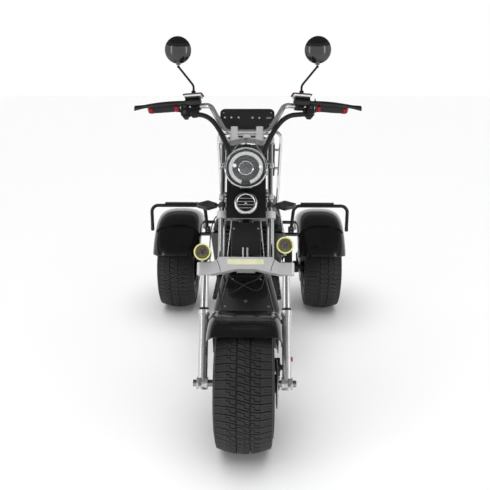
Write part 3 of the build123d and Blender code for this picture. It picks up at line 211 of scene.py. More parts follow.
def join(shape, part, place=None):
    """Moves a finished small shape to its place and adds it to the piece."""
    if place:
        bmesh.ops.transform(part, matrix=place, verts=part.verts)
    mesh = bpy.data.meshes.new("part")
    part.to_mesh(mesh)
    part.free()
    shape.from_mesh(mesh)
    bpy.data.meshes.remove(mesh)


def turned(outline, steps=64, closed=False):
    """A shape turned about the upright axis from an outline of radius and height."""
    shape = bmesh.new()
    verts = [shape.verts.new((r, 0, z)) for r, z in outline]
    edges = [shape.edges.new(pair) for pair in zip(verts, verts[1:])]
    if closed:
        edges.append(shape.edges.new((verts[-1], verts[0])))
    spun = {"geom": verts + edges, "cent": (0, 0, 0), "axis": (0, 0, 1), "use_merge": True}
    bmesh.ops.spin(shape, angle=2 * pi, steps=steps, **spun)
    bmesh.ops.remove_doubles(shape, verts=shape.verts, dist=0.000005)
    bmesh.ops.recalc_face_normals(shape, faces=shape.faces)
    return shape


def make_piece(name, shape, finish, body, nodes=(), sharp=34, even=True):
    """Welds and shades a shape, and puts it on its body for the plain nodes it stands for."""
    bmesh.ops.remove_doubles(shape, verts=shape.verts, dist=0.000005)
    bmesh.ops.recalc_face_normals(shape, faces=shape.faces)
    mesh = bpy.data.meshes.new(name)
    shape.to_mesh(mesh)
    shape.free()
    mesh.shade_smooth()
    mesh.set_sharp_from_angle(angle=radians(sharp))
    mesh.materials.append(finish.material)
    piece = bpy.data.objects.new(name, mesh)
    bpy.context.scene.collection.objects.link(piece)
    if even:
        shading = piece.modifiers.new("even_shading", "WEIGHTED_NORMAL")
        shading.keep_sharp = True
    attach(piece, body)
    if nodes:
        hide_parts(*nodes)
    return piece


def make_pieces(body, *rows):
    """Pieces of one body, each with its name, shape, finish, material slot and nodes; the slot is not used."""
    for name, shape, finish, slot, *nodes in rows:
        make_piece(name, shape, finish, body, nodes)


def shapes(count):
    """As many empty shapes as pieces that are built up together."""
    return [bmesh.new() for part in range(count)]


tread_depth, pitches, crown_radius = 0.0075, 53, 0.243
pitch_long = 2 * pi * tyre_radius / pitches
sipe, groove_in, groove_out = 0.0026, 0.0195, 0.0245
column_edge, tread_edge = 0.0545, 0.0925


def crown(across):
    """How far the tread's surface lies from the axle, at a place across it."""
    return tyre_radius - (crown_radius - sqrt(crown_radius ** 2 - across ** 2))


def wave(across):
    """How far the cross groove has wandered along the tread, at a place across it."""
    reach = max(-column_edge, min(column_edge, across))
    drift = 0.0105 * sin(reach / column_edge * pi / 2)
    return drift - 0.05 * max(0, abs(across) - column_edge) * (1 if across > 0 else -1)


def tread_block(shape, corners):
    """One block: its outline laid on the crown, drawn in at the top and bent round the tyre."""
    chamfer = 0.0005
    middle_x = sum(x for x, y in corners) / len(corners)
    middle_y = sum(y for x, y in corners) / len(corners)
    rings = []
    for drop, inset in ((tread_depth + 0.001, 0), (chamfer, 0), (0, chamfer)):
        ring = []
        for x, y in corners:
            x -= inset * (1 if x > middle_x else -1)
            y -= inset * (1 if y > middle_y else -1)
            out, turn = crown(x) - drop, (y + wave(x)) / tyre_radius
            ring.append(shape.verts.new((x, -out * sin(turn), out * cos(turn))))
        rings.append(ring)
    for low, high in zip(rings, rings[1:]):
        for a in range(len(corners)):
            b = (a + 1) % len(corners)
            shape.faces.new((low[a], low[b], high[b], high[a]))
    shape.faces.new(rings[-1])
    return [v for ring in rings for v in ring]


def hooked_pair(left, right, flip):
    """The two hooked halves of a middle block, parted by a stepped slot."""
    low, high = sipe / 2, pitch_long - sipe * 0.55
    third, wide = (high - low) / 3, right - left
    step_in, step_out = left + wide * 0.30, left + wide * 0.62
    near, far = low + third * 0.80, low + third * 2.1
    gap, lip = sipe / 2, sipe / 4
    lower = [
        (left, low), (right, low), (right, far - gap), (step_out + gap, far - gap),
        (step_out + gap, near), (step_in + sipe, near), (step_in, near - lip), (left, near - lip),
    ]
    upper = [
        (left, near + sipe), (step_out - gap, near + sipe), (step_out - gap, far + gap),
        (right, far + gap), (right, high), (left, high),
    ]
    pair = [lower, upper]
    if flip:
        pair = [[(left + right - x, low + high - y) for x, y in outline] for outline in pair]
    return pair


def shoulder_blocks(side):
    """The shoulder's ribs: three to a pitch, joined at their inner end."""
    low, high = sipe / 2, pitch_long - sipe * 0.55
    near, far = column_edge + sipe * 0.2, tread_edge
    step = (high - low) / 3
    root = near + (far - near) * 0.24
    slot = 0.0011
    outline = [(near, low), (far, low)]
    for index in (1, 2):
        cut = low + step * index
        before, after = cut - slot / 2, cut + slot / 2
        outline += [(far, before), (root, before), (root, after), (far, after)]
    outline += [(far, high), (near, high)]
    return [[(side * x, y) for x, y in outline]]


def tyre_shape():
    half, wall_radius, wall_tall = 0.102, 0.165, 0.060
    bead, bead_low, bead_high = 0.084, 0.1045, 0.112
    wall = []
    for step in range(-15, 16):
        turn = radians(step * 4)
        wall.append((half * cos(turn) ** 0.55, wall_radius + wall_tall * sin(turn)))
    wall = [(x, r) for x, r in wall if x > bead * 0.98]
    edge = tread_edge
    wall += [(edge + 0.0035, crown(edge) - 0.0105), (edge + 0.0012, crown(edge) - 0.0045)]
    wall += [(edge - 0.001, crown(edge) - 0.0032), (edge - 0.003, crown(edge) - tread_depth)]
    floor = [(x, crown(x) - tread_depth) for x in (0.075, 0.06, 0.045, 0.03, 0.015)]
    side = [(bead, bead_low), (bead + 0.001, bead_high)] + wall + floor
    outline = [(r, x) for x, r in side] + [(crown(0) - tread_depth, 0)] + [(r, -x) for x, r in reversed(side)]
    shape = bmesh.new()
    along_axle = Matrix.Rotation(pi / 2, 4, "Y")
    join(shape, turned(outline, 128), along_axle)
    wall_ribs = {0.124: 0.0010, 0.131: 0.0010, 0.184: 0.0012, 0.192: 0.0012, 0.200: 0.0012}
    for radius, proud in wall_ribs.items():
        lift = half * max(0.2, 1 - ((radius - wall_radius) / wall_tall) ** 2) ** 0.275
        for way in (-1, 1):
            ridge = [
                (radius - 0.0016, way * (lift - 0.002)), (radius - 0.0008, way * (lift + proud)),
                (radius + 0.0008, way * (lift + proud)), (radius + 0.0016, way * (lift - 0.002)),
            ]
            join(shape, turned(ridge, 96, closed=True), along_axle)
    blocks = []
    for outline in (
        hooked_pair(-groove_in, groove_in, False) + hooked_pair(-column_edge, -groove_out, True)
        + hooked_pair(groove_out, column_edge, True) + shoulder_blocks(-1) + shoulder_blocks(1)
    ):
        blocks += tread_block(shape, outline)
    faces = {face for vert in blocks for face in vert.link_faces}
    edges = {edge for vert in blocks for edge in vert.link_edges}
    bmesh.ops.spin(
        shape, geom=blocks + list(edges) + list(faces), cent=(0, 0, 0), axis=(1, 0, 0),
        angle=2 * pi * (pitches - 1) / pitches, steps=pitches - 1, use_duplicate=True,
    )
    return shape


tyre_rubber = rubber("tyre_rubber", 0.016, 0.6, 900)
wheel_bodies = {"front_{}": "front_wheel", "rear_{}_left": "rear_wheel_left", "rear_{}_right": "rear_wheel_right"}
for pattern, body in wheel_bodies.items():
    node = pattern.format("tyre")
    low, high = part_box(node)
    shape = tyre_shape()
    bmesh.ops.transform(shape, matrix=Matrix.Translation((low + high) / 2), verts=shape.verts)
    make_piece(node + "_treaded", shape, tyre_rubber, body, [node], 30, False)


# Wheels: black powder-coated cast rims with rounded spokes and a valve each, and
# ground steel brake discs, the front one held to its wheel by button-head screws.
def rounded(shape, edges, width, segments, clamp=False):
    """Rounds some of a shape's edges."""
    bmesh.ops.bevel(
        shape, geom=edges, offset=width, offset_type="OFFSET", segments=segments, profile=0.5,
        affect="EDGES", clamp_overlap=clamp, material=-1,
    )


def soften(shape, width, angle, segments=2):
    """Rounds a solid's sharp edges a little, as casting, bending and paint leave them."""
    bmesh.ops.remove_doubles(shape, verts=shape.verts, dist=0.00002)
    bmesh.ops.dissolve_limit(
        shape, angle_limit=radians(0.8), use_dissolve_boundaries=False, verts=shape.verts,
        edges=shape.edges, delimit=set(),
    )
    sharp = [e for e in shape.edges if e.is_manifold and e.calc_face_angle(0) > radians(angle)]
    if sharp and width:
        rounded(shape, sharp, width, segments, True)
    bmesh.ops.triangulate(shape, faces=[f for f in shape.faces if len(f.verts) > 4])
    return shape


def welded(node):
    """A welded copy of a plain node's mesh."""
    shape = bmesh.new()
    shape.from_mesh(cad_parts[node].data)
    return shape


def dress(node, finish, body, width=0.001, angle=32, segments=2):
    """The plain node with rounded edges and its real finish, in that node's place."""
    shape = soften(welded(node), width, angle, segments)
    return make_piece(node + "_finished", shape, finish, body, [node])


def skin_of(node):
    """The plain node's skin, to find where a small part sits on it."""
    shape = welded(node)
    skin = BVHTree.FromBMesh(shape)
    shape.free()
    return skin


def facing(place, way):
    """A place in space whose Z axis points along a way."""
    turn = Vector(way).to_track_quat("Z", "Y").to_matrix().to_4x4()
    return Matrix.Translation(place) @ turn


def seat(skin, start, way):
    """The place where a part pushed along a way rests on a skin, its Z axis facing back."""
    place, normal, index, far = skin.ray_cast(Vector(start), Vector(way).normalized())
    return facing(place, -Vector(way)) if place else None


def fasten(screws, head, skin, start, way):
    """Adds a screw head where one pushed along a way meets a skin, if it meets it."""
    place = seat(skin, start, way)
    if place:
        join(screws, head, place)
    else:
        head.free()


def block(low, high, edge, segments=2):
    """A box between two corners with rounded edges."""
    shape = bmesh.new()
    bmesh.ops.create_cube(shape, size=1)
    low, high = Vector(low), Vector(high)
    size = Matrix.Translation((low + high) / 2) @ Matrix.Diagonal((*(high - low), 1))
    bmesh.ops.transform(shape, matrix=size, verts=shape.verts)
    if edge:
        rounded(shape, list(shape.edges), edge, segments, True)
    return shape


def button_head(radius, tall):
    """A domed screw head with its socket, sunk a little into what it holds."""
    dome = [(radius, -tall * 0.4), (radius, tall * 0.25), (radius * 0.86, tall * 0.72)]
    socket = [(radius * 0.55, tall), (radius * 0.5, tall), (radius * 0.44, tall * 0.35), (0, tall * 0.35)]
    return turned(dome + socket, 12)


def hex_head(radius, tall):
    """A hexagon bolt head on its washer."""
    shape = turned([(radius * 1.25, -0.0005), (radius * 1.25, 0.0009), (0, 0.0009)], 20)
    head = bmesh.new()
    bmesh.ops.create_cone(head, cap_ends=True, segments=6, radius1=radius, radius2=radius, depth=tall)
    level = [e for e in head.edges if abs(e.verts[0].co.z - e.verts[1].co.z) < 1e-6]
    rounded(head, [e for e in level if e.verts[0].co.z > 0], radius * 0.12, 1)
    join(shape, head, Matrix.Translation((0, 0, tall / 2)))
    return shape


def powder_coat(name, tone, rough, gloss=0.0, peel=1400, shine=0.4):
    """Black paint: a soft orange peel, faint dust and a clear coat where it is glossy."""
    finish = Finish(name)
    cloud = finish.noise(7, 4)
    fine = finish.noise(peel, 3)
    dust = finish.noise(38, 6)
    low, high = tuple(t * 0.75 for t in tone), tuple(t * 1.35 + 0.001 for t in tone)
    finish.set(Base_Color=finish.ramp(cloud, (0.3, low), (0.75, high)))
    finish.set(Roughness=rough - 0.05 + dust * 0.12, Specular_IOR_Level=shine)
    finish.set(Coat_Weight=gloss, Coat_Roughness=0.04)
    finish.set(Normal=finish.bump(fine, 0.10 if gloss else 0.28, 0.0002))
    return finish


def bare_metal(name, tone, rough, grain=0.0, streak=(1, 1, 1), smudge=0.06, bare=1.0):
    """Plated, polished or ground metal: smudges in its gloss, and a fine grain along its streaks."""
    finish = Finish(name)
    cloud = finish.noise(26, 5)
    lines = finish.noise(420, 3, finish.stretched(streak))
    shade = finish.ramp(cloud, (0.3, tuple(t * 0.93 for t in tone)), (0.7, tone))
    finish.set(Base_Color=shade, Metallic=bare, Roughness=rough - smudge / 2 + cloud * smudge + lines * grain)
    finish.set(Normal=finish.bump(lines, 0.04 + grain, 0.0001))
    return finish


def mottled(name, kind, scale, low, high, detail=4, relief=None, **surface):
    """A finish that wanders between two colours with noise or cells, which may stand proud."""
    finish = Finish(name)
    spots = finish.noise(scale, detail) if kind == "noise" else finish.cells(scale)
    finish.set(Base_Color=finish.ramp(spots, low, high), **surface)
    if relief:
        finish.set(Normal=finish.bump(spots, *relief))
    return finish


cast_black = powder_coat("cast_black", (0.006, 0.006, 0.0065), 0.36)
ground_steel = bare_metal("ground_steel", (0.42, 0.42, 0.43), 0.3, 0.12, (1, 6, 6))
zinc_steel = bare_metal("zinc_steel", (0.34, 0.34, 0.35), 0.34, 0.06, smudge=0.12)
for pattern, body in wheel_bodies.items():
    node = pattern.format("rim")
    dress(node, cast_black, body, 0.0018)
    skin = skin_of(node)
    low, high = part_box(pattern.format("tyre"))
    middle = (low + high) / 2
    outward = -1 if node.endswith("right") else 1
    screws = bmesh.new()
    for turn in range(5):
        way = Vector((0, cos(turn * 2 * pi / 5), sin(turn * 2 * pi / 5)))
        start = middle + way * 0.019 + Vector((0.2 * outward, 0, 0))
        fasten(screws, hex_head(0.0058, 0.006), skin, start, (-outward, 0, 0))
    valve = turned([(0.0034, -0.012), (0.0034, 0.012), (0.0027, 0.0125), (0.0027, 0.026), (0, 0.027)], 16)
    join(screws, valve, facing(middle + Vector((0.052 * outward, 0, 0.098)), (outward * 0.75, 0, -0.65)))
    make_piece(node + "_screws_and_valve", screws, zinc_steel, body, ())
dress("front_disc", ground_steel, "front_wheel", 0.0005)
disc_low, disc_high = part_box("front_disc")
disc_screws = bmesh.new()
for turn in range(6):
    way = Vector((0, cos(turn * pi / 3 + 0.3), sin(turn * pi / 3 + 0.3)))
    place = facing(front_hub + way * 0.0585 + Vector((disc_high.x - front_hub.x, 0, 0)), (1, 0, 0))
    join(disc_screws, button_head(0.0048, 0.003), place)
make_piece("front_disc_screws", disc_screws, zinc_steel, "front_wheel", ())

# Fork: polished lower sliders with a rubber wiper at the mouth of each and pinch
# bolts at the foot, hard-chromed stanchions above them, and the axle with its nuts.
chrome = bare_metal("chrome_plate", (0.60, 0.605, 0.615), 0.09, 0.0, smudge=0.06)
cast_silver = bare_metal("cast_silver", (0.60, 0.60, 0.605), 0.3, 0.05, smudge=0.1, bare=0.4)
polished = bare_metal("polished_alloy", (0.58, 0.585, 0.59), 0.22, 0.06, (5, 5, 1), 0.08, 0.75)
fork_rake = radians(27)
fork = Matrix.Translation(front_hub) @ Matrix.Rotation(-fork_rake, 4, "X")
ahead, fork_down = fork.to_3x3() @ Vector((0, 1, 0)), fork.to_3x3() @ Vector((0, 0, -1))
fork_half, slider_top, stanchion_radius = 0.150, 0.259, 0.0135
dress("fork_sliders", polished, "steering", 0.0022)
dress("fork_stanchions", chrome, "steering", 0.0004)
dress("front_axle", zinc_steel, "steering", 0.0008)
wipers, pinch_bolts = bmesh.new(), bmesh.new()
slider_skin = skin_of("fork_sliders")
for side in (-1, 1):
    mouth = fork @ Matrix.Translation((side * fork_half, 0, slider_top))
    wiper = [
        (stanchion_radius + 0.0003, 0.009), (0.0152, 0.0088), (0.0158, 0.006), (0.0176, 0.0052),
        (0.0182, 0.0035), (0.0182, -0.0042), (0.0174, -0.005), (0.0165, -0.005), (0.0165, 0), (0.0137, 0),
    ]
    join(wipers, turned(wiper, 40, closed=True), mouth)
    for up in (-0.004, 0.012):
        start = fork @ Vector((side * (fork_half + 0.008), -0.08, up))
        fasten(pinch_bolts, hex_head(0.0052, 0.006), slider_skin, start, ahead)
make_pieces(
    "steering",
    ("slider_wipers", wipers, tyre_rubber, "rubber"),
    ("slider_pinch_bolts", pinch_bolts, zinc_steel, "steel"),
)
red_lamp = mottled(
    "red_reflector", "cells", 420, (0.2, (0.42, 0.006, 0.01)), (0.8, (0.2, 0.003, 0.006)),
    relief=(0.5, 0.0006), Roughness=0.12, Coat_Weight=1.0,
)
start = fork @ Vector((fork_half + 0.06, 0, 0.085))
cap = turned([(0.0088, -0.002), (0.0088, 0.0028), (0.0078, 0.0042), (0, 0.0052)], 28)
reflector = bmesh.new()
join(reflector, cap, seat(slider_skin, start, (-1, 0, 0)))
make_piece("slider_reflector", reflector, red_lamp, "steering", ())

# Lower yoke: one wide silver casting that clamps both stanchions, with a dark joint
# line beside each end, a pale band across its front, and a bolt over each leg.
yoke_front = -0.026
dress("lower_yoke", cast_silver, "steering", 0.0035, 28, 3)
yoke_skin = skin_of("lower_yoke")


def seam(skin, path, way, width, lift=0.0003):
    """A thin strip laid on a skin along a path, each point pushed onto it along a way."""
    shape = bmesh.new()
    rows = []
    points = []
    for point in path:
        place, normal, index, far = skin.ray_cast(Vector(point), Vector(way).normalized())
        if place:
            points.append((place, normal))
    for index, (place, normal) in enumerate(points):
        before, after = points[max(0, index - 1)][0], points[min(len(points) - 1, index + 1)][0]
        across = (after - before).cross(normal).normalized() * width / 2
        rows.append([shape.verts.new(place + normal * lift + side) for side in (-across, across)])
    for low, high in zip(rows, rows[1:]):
        shape.faces.new((low[0], low[1], high[1], high[0]))
    return shape


joint_black = powder_coat("joint_black", (0.003, 0.003, 0.003), 0.6)
joints = bmesh.new()
for side in (-1, 1):
    path = []
    for step in range(15):
        share = step / 14
        x = 0.0925 + 0.019 * share ** 1.6
        path.append(fork @ Vector((side * x, -0.12, 0.398 + 0.052 * share)))
    join(joints, seam(yoke_skin, path, ahead, 0.0022))
make_piece("yoke_joint_lines", joints, joint_black, "steering", ())
band_finish = mottled(
    "pale_band", "noise", 30, (0.3, (0.60, 0.60, 0.38)), (0.7, (0.70, 0.70, 0.48)),
    Roughness=0.38, Specular_IOR_Level=0.4,
)
band = block((-0.0665, yoke_front - 0.0006, 0.4235), (0.0665, yoke_front + 0.002, 0.4425), 0.0004, 1)
bmesh.ops.transform(band, matrix=fork, verts=band.verts)
make_piece("yoke_band", band, band_finish, "steering", ())
yoke_bolts = bmesh.new()
for side in (-1, 1):
    for across in (0.030, 0.124):
        start = fork @ Vector((side * across, 0.02, 0.6 if across > 0.1 else 0.47))
        fasten(yoke_bolts, button_head(0.0062, 0.0045), yoke_skin, start, fork_down)
make_piece("yoke_bolts", yoke_bolts, zinc_steel, "steering", ())

# Upper tubes: chromed steel between the yokes, thinner in their upper part.
# The middle clamp ties them together: silver castings bolted through at each tube.
tube_half, tube_back, tube_upper_radius = 0.091, 0.020, 0.0105
tube_chrome = bare_metal("tube_chrome", (0.45, 0.455, 0.465), 0.12)
dress("fork_upper_tubes", tube_chrome, "steering", 0.0008)
dress("middle_clamp", cast_silver, "steering", 0.0022)
clamp_skin = skin_of("middle_clamp")
clamp_bolts = bmesh.new()
for side in (-1, 1):
    start = fork @ Vector((side * (tube_half - 0.024), -0.08, 0.6195))
    fasten(clamp_bolts, hex_head(0.0058, 0.006), clamp_skin, start, ahead)
make_piece("clamp_bolts", clamp_bolts, chrome, "steering", ())

# Top yoke: a silver cast plate arched along its lower edge, with a boss and two flat dark
# patches on its front, painted shade standing for two pockets, and two silver risers whose
# caps are held by socket screws.
top_high, plate_front, riser_x, bar_back = 0.941, 0.004, 0.050, 0.030
dress("top_yoke", cast_silver, "steering", 0.0022)
dress("handlebar_risers", cast_silver, "steering", 0.002, segments=3)
riser_skin, top_skin = skin_of("handlebar_risers"), skin_of("top_yoke")
riser_screws, plate_screws, pocket_shade_patches, boss = shapes(4)
for side in (-1, 1):
    for fore in (-0.0125, 0.0125):
        start = fork @ Vector((side * riser_x, bar_back + fore, 1.05))
        fasten(riser_screws, button_head(0.0045, 0.0036), riser_skin, start, fork_down)
    start = fork @ Vector((side * (tube_half - 0.0235), -0.06, top_high - 0.012))
    fasten(plate_screws, button_head(0.0052, 0.004), top_skin, start, ahead)
    # A thin dark patch laid on the face: painted shade standing for a pocket's recess.
    low = (side * 0.0245 - 0.0095, plate_front - 0.0005, 0.9275)
    join(pocket_shade_patches, block(low, (side * 0.0245 + 0.0095, plate_front + 0.001, 0.9365), 0.0004, 1), fork)
low, high = (-0.0115, plate_front - 0.0035, 0.9265), (0.0115, plate_front + 0.002, top_high + 0.0015)
join(boss, block(low, high, 0.0022, 3), fork)
# Dark grey of the painted pocket shade.
painted_pocket_shade = powder_coat("painted_pocket_shade", (0.020, 0.020, 0.021), 0.5)
make_pieces(
    "steering",
    ("top_yoke_pocket_shades", pocket_shade_patches, painted_pocket_shade, "satin_black"),
    ("top_yoke_boss", boss, cast_silver, "silver_cast"),
    ("riser_screws", riser_screws, zinc_steel, "steel"),
    ("top_yoke_screws", plate_screws, zinc_steel, "steel"),
)

# Handlebar: one chromed 22 mm tube bent four times.
bar_chrome = bare_metal("bar_chrome", (0.66, 0.665, 0.675), 0.11, bare=0.85)
dress("handlebar", bar_chrome, "steering", 0.0004)
rise_x, rise_back, grip_back, grip_up, bar_half = 0.150, 0.065, 0.122, 1.099, 0.412
rise_up = grip_up - 0.007


def bar_frame(side, across):
    """The place on the bar's outer run at a distance from the middle: X outwards, Z up."""
    start, end = Vector((side * rise_x, rise_back, rise_up)), Vector((side * bar_half, grip_back, grip_up))
    way = end - start
    up = way.cross(Vector((0, side, 0))).normalized()
    origin = start + way * (across - rise_x) / (bar_half - rise_x)
    x_axis = way.normalized()
    y_axis = up.cross(x_axis)
    turn = Matrix((x_axis, y_axis, up)).transposed().to_4x4()
    return fork @ Matrix.Translation(origin) @ turn


# Grips: ribbed dark rubber on an inner sleeve, locked at each end by a red anodised
# clamp ring with a small screw, and closed by a pale ring and a cap at the bar's end.
grip_in, grip_out = 0.275, 0.408
grip_rubber = rubber("grip_rubber", 0.022, 0.6, 900)
red_anodised = bare_metal("red_anodised", (0.42, 0.02, 0.045), 0.3, 0.04, smudge=0.1)
pale_ring = mottled(
    "pale_yellow_ring", "noise", 60, (0.3, (0.60, 0.60, 0.20)), (0.7, (0.76, 0.76, 0.32)), 3,
    Roughness=0.35, Coat_Weight=0.6,
)
along_bar = Matrix.Rotation(pi / 2, 4, "Y")
rubbers, locks, end_rings, lock_screws = shapes(4)
for side in (-1, 1):
    place = bar_frame(side, grip_in) @ along_bar
    long = (grip_out - grip_in) * 1.024
    outline = [(0.0112, 0.001), (0.0208, 0.001), (0.021, 0.0035), (0.0205, 0.0062), (0.0165, 0.0072)]
    start, end, ribs = 0.022, long - 0.018, 22
    outline.append((0.0158, start))
    for rib in range(ribs):
        at = start + (end - start) * rib / ribs
        wide = (end - start) / ribs
        swell = 0.0007 * sin(pi * (rib + 0.5) / ribs)
        outline += [(0.0154 + swell, at + wide * 0.08), (0.0167 + swell, at + wide * 0.3)]
        outline += [(0.0167 + swell, at + wide * 0.78), (0.0154 + swell, at + wide * 0.98)]
    outline += [(0.0155, long - 0.004), (0.0155, long), (0.0112, long)]
    join(rubbers, turned(outline, 36), place)
    for low, high in ((0.0078, 0.0205), (long - 0.0175, long - 0.0045)):
        ring = [(0.0150, low), (0.0176, low), (0.0184, low + 0.001), (0.0184, high - 0.001)]
        join(locks, turned(ring + [(0.0176, high), (0.0150, high)], 40, closed=True), place)
        middle = place @ Matrix.Translation((0, 0, (low + high) / 2)) @ Matrix.Rotation(side * 2.2, 4, "Z")
        spot = middle @ Matrix.Translation((0.0184, 0, 0)) @ along_bar
        join(lock_screws, button_head(0.0028, 0.0022), spot)
    ring = [(0.011, 0), (0.0172, 0), (0.0176, 0.001), (0.0172, 0.002), (0.011, 0.002)]
    cap = [(0, 0.001), (0.0146, 0.0012), (0.0146, 0.004), (0.012, 0.0052), (0, 0.0056)]
    join(end_rings, turned([(radius, long + up) for radius, up in ring], 36, closed=True), place)
    join(rubbers, turned([(radius, long + up) for radius, up in cap], 32), place)
make_pieces(
    "steering",
    ("grip_rubbers", rubbers, grip_rubber, "grip_rubber", "grips"),
    ("grip_lock_rings", locks, red_anodised, "red_lid"),
    ("grip_end_rings", end_rings, pale_ring, "yellow_ring"),
    ("grip_lock_screws", lock_screws, zinc_steel, "steel"),
)

# Switch housings: two moulded half shells screwed round the bar. The right hand's has
# a rocker and a thumb lever, the left hand's is a taller stack of buttons and a horn button.
moulded_black = powder_coat("moulded_black", (0.010, 0.010, 0.0105), 0.5, peel=2600, shine=0.32)
switch_in = 0.236
switches, keys, switch_screws = shapes(3)
for side in (-1, 1):
    place = bar_frame(side, switch_in)
    fore = -side
    outwards = facing((0, 0, 0), (0, fore, 0))
    join(switches, block((0.0005, -0.019, -0.042), (0.0335, 0.019, 0.021), 0.006, 3), place)
    join(switches, block((-0.0003, -0.0196, -0.0012), (0.0343, 0.0196, 0.0012), 0.0008, 1), place)
    if side < 0:
        parts = (
            ((-0.004, -0.017, -0.034), (0.031, 0.017, -0.020), 0.004),
            ((0.006, -0.014, -0.052), (0.024, 0.014, -0.038), 0.004),
            ((-0.040, -0.013, -0.040), (-0.004, 0.013, -0.014), 0.005),
            ((-0.034, -0.011, -0.047), (-0.010, 0.011, -0.036), 0.003),
        )
        buttons = ((0.008, 0.012, 0.0045), (0.022, 0.012, 0.0045), (0.015, -0.004, 0.006), (0.015, -0.030, 0.005))
    else:
        parts = (
            ((0.004, -0.014, -0.050), (0.026, 0.014, -0.038), 0.004),
            ((-0.010, -0.010, -0.030), (0.002, 0.010, -0.010), 0.004),
            ((0.010, -0.008, 0.018), (0.022, 0.008, 0.034), 0.003),
        )
        buttons = ((0.017, 0.008, 0.0052), (0.017, -0.010, 0.0058))
    for low, high, edge in parts:
        join(switches, block(low, high, edge), place)
    if side > 0:
        thumb = turned([(0.0062, 0), (0.0062, 0.010), (0.0035, 0.020), (0.0012, 0.034), (0, 0.035)], 20)
        join(switches, thumb, place @ Matrix.Translation((0.041, fore * 0.006, 0.004)))
    for across, up, radius in buttons:
        collar = [(radius * 1.25, -0.001), (radius * 1.25, 0.0012), (radius, 0.0016), (radius, 0.0036)]
        cap = turned(collar + [(radius * 0.8, 0.0042), (0, 0.0038)], 24)
        join(keys, cap, place @ Matrix.Translation((across, fore * 0.0186, up)) @ outwards)
    for up in (0.015, -0.036):
        spot = place @ Matrix.Translation((0.0285, fore * 0.0188, up)) @ outwards
        join(switch_screws, button_head(0.0024, 0.0016), spot)
key_grey = powder_coat("key_grey", (0.05, 0.05, 0.052), 0.42, peel=1800)
make_pieces(
    "steering",
    ("switch_shells", switches, moulded_black, "black_plastic", "switch_housings"),
    ("switch_keys", keys, key_grey, "black_plastic"),
    ("switch_screws", switch_screws, zinc_steel, "steel"),
)

# Brake masters: black cast pump bodies clamped to the bar, each with a translucent white
# cup of fluid, a dark red screwed lid and two screws on its clamp; the banjo bolt for its
# hose is not drawn.
perch_in, perch_wide, master_front = 0.192, 0.036, 0.040
satin_black = powder_coat("satin_black", (0.006, 0.006, 0.0065), 0.34)
cup_white = mottled(
    "cup_white", "noise", 40, (0.3, (0.62, 0.63, 0.60)), (0.7, (0.74, 0.74, 0.72)),
    Roughness=0.3, Coat_Weight=0.4,
)
lid_red = powder_coat("lid_red", (0.045, 0.004, 0.008), 0.3, 0.5)
bodies, cups, lids, lid_screws = shapes(4)
for side in (-1, 1):
    place = bar_frame(side, perch_in)
    fore = -side
    ring = [
        (0.0112, -0.0005), (0.0168, -0.0005), (0.0176, 0.0004), (0.0176, perch_wide - 0.0004),
        (0.0168, perch_wide + 0.0005), (0.0112, perch_wide + 0.0005),
    ]
    join(bodies, turned(ring, 40, closed=True), place @ along_bar)
    near, far = sorted((0.006 * fore, fore * (master_front + 0.002)))
    join(bodies, block((0.004, near, -0.012), (perch_wide - 0.004, far, 0.0135), 0.0035), place)
    pump = [
        (0, -0.0155), (0.0085, -0.015), (0.009, -0.0115), (0.0118, -0.010), (0.0126, 0.004), (0.0126, 0.034),
        (0.0112, 0.038), (0.0112, 0.049), (0, 0.0492),
    ]
    join(bodies, turned(pump, 32), place @ Matrix.Translation((-0.0005, fore * master_front, 0)) @ along_bar)
    middle = place @ Matrix.Translation((perch_wide / 2, fore * master_front, 0))
    join(bodies, block((-0.030, -0.014, 0.011), (0.033, 0.014, 0.0195), 0.004), middle)
    cup = block((-0.036, -0.0165, 0.0185), (0.036, 0.0165, 0.0262), 0.003)
    join(cups, cup, middle)
    lid = block((-0.0415, -0.0178, 0.0255), (0.0415, 0.0178, 0.0338), 0.0052, 4)
    bmesh.ops.scale(lid, vec=(0.90, 0.86, 1), verts=[v for v in lid.verts if v.co.z > 0.031])
    join(lids, lid, middle)
    for across in (-0.031, 0.031):
        join(lid_screws, button_head(0.0028, 0.0014), middle @ Matrix.Translation((across, 0, 0.0335)))
    for up in (-0.009, 0.009):
        spot = place @ facing((perch_wide / 2, -fore * 0.0165, up), (0, -fore, 0))
        join(lid_screws, button_head(0.0034, 0.0026), spot)
make_pieces(
    "steering",
    ("master_bodies", bodies, satin_black, "satin_black", "brake_masters"),
    ("master_cups", cups, cup_white, "lens"),
    ("master_lids", lids, lid_red, "red_lid"),
    ("master_screws", lid_screws, zinc_steel, "steel"),
)

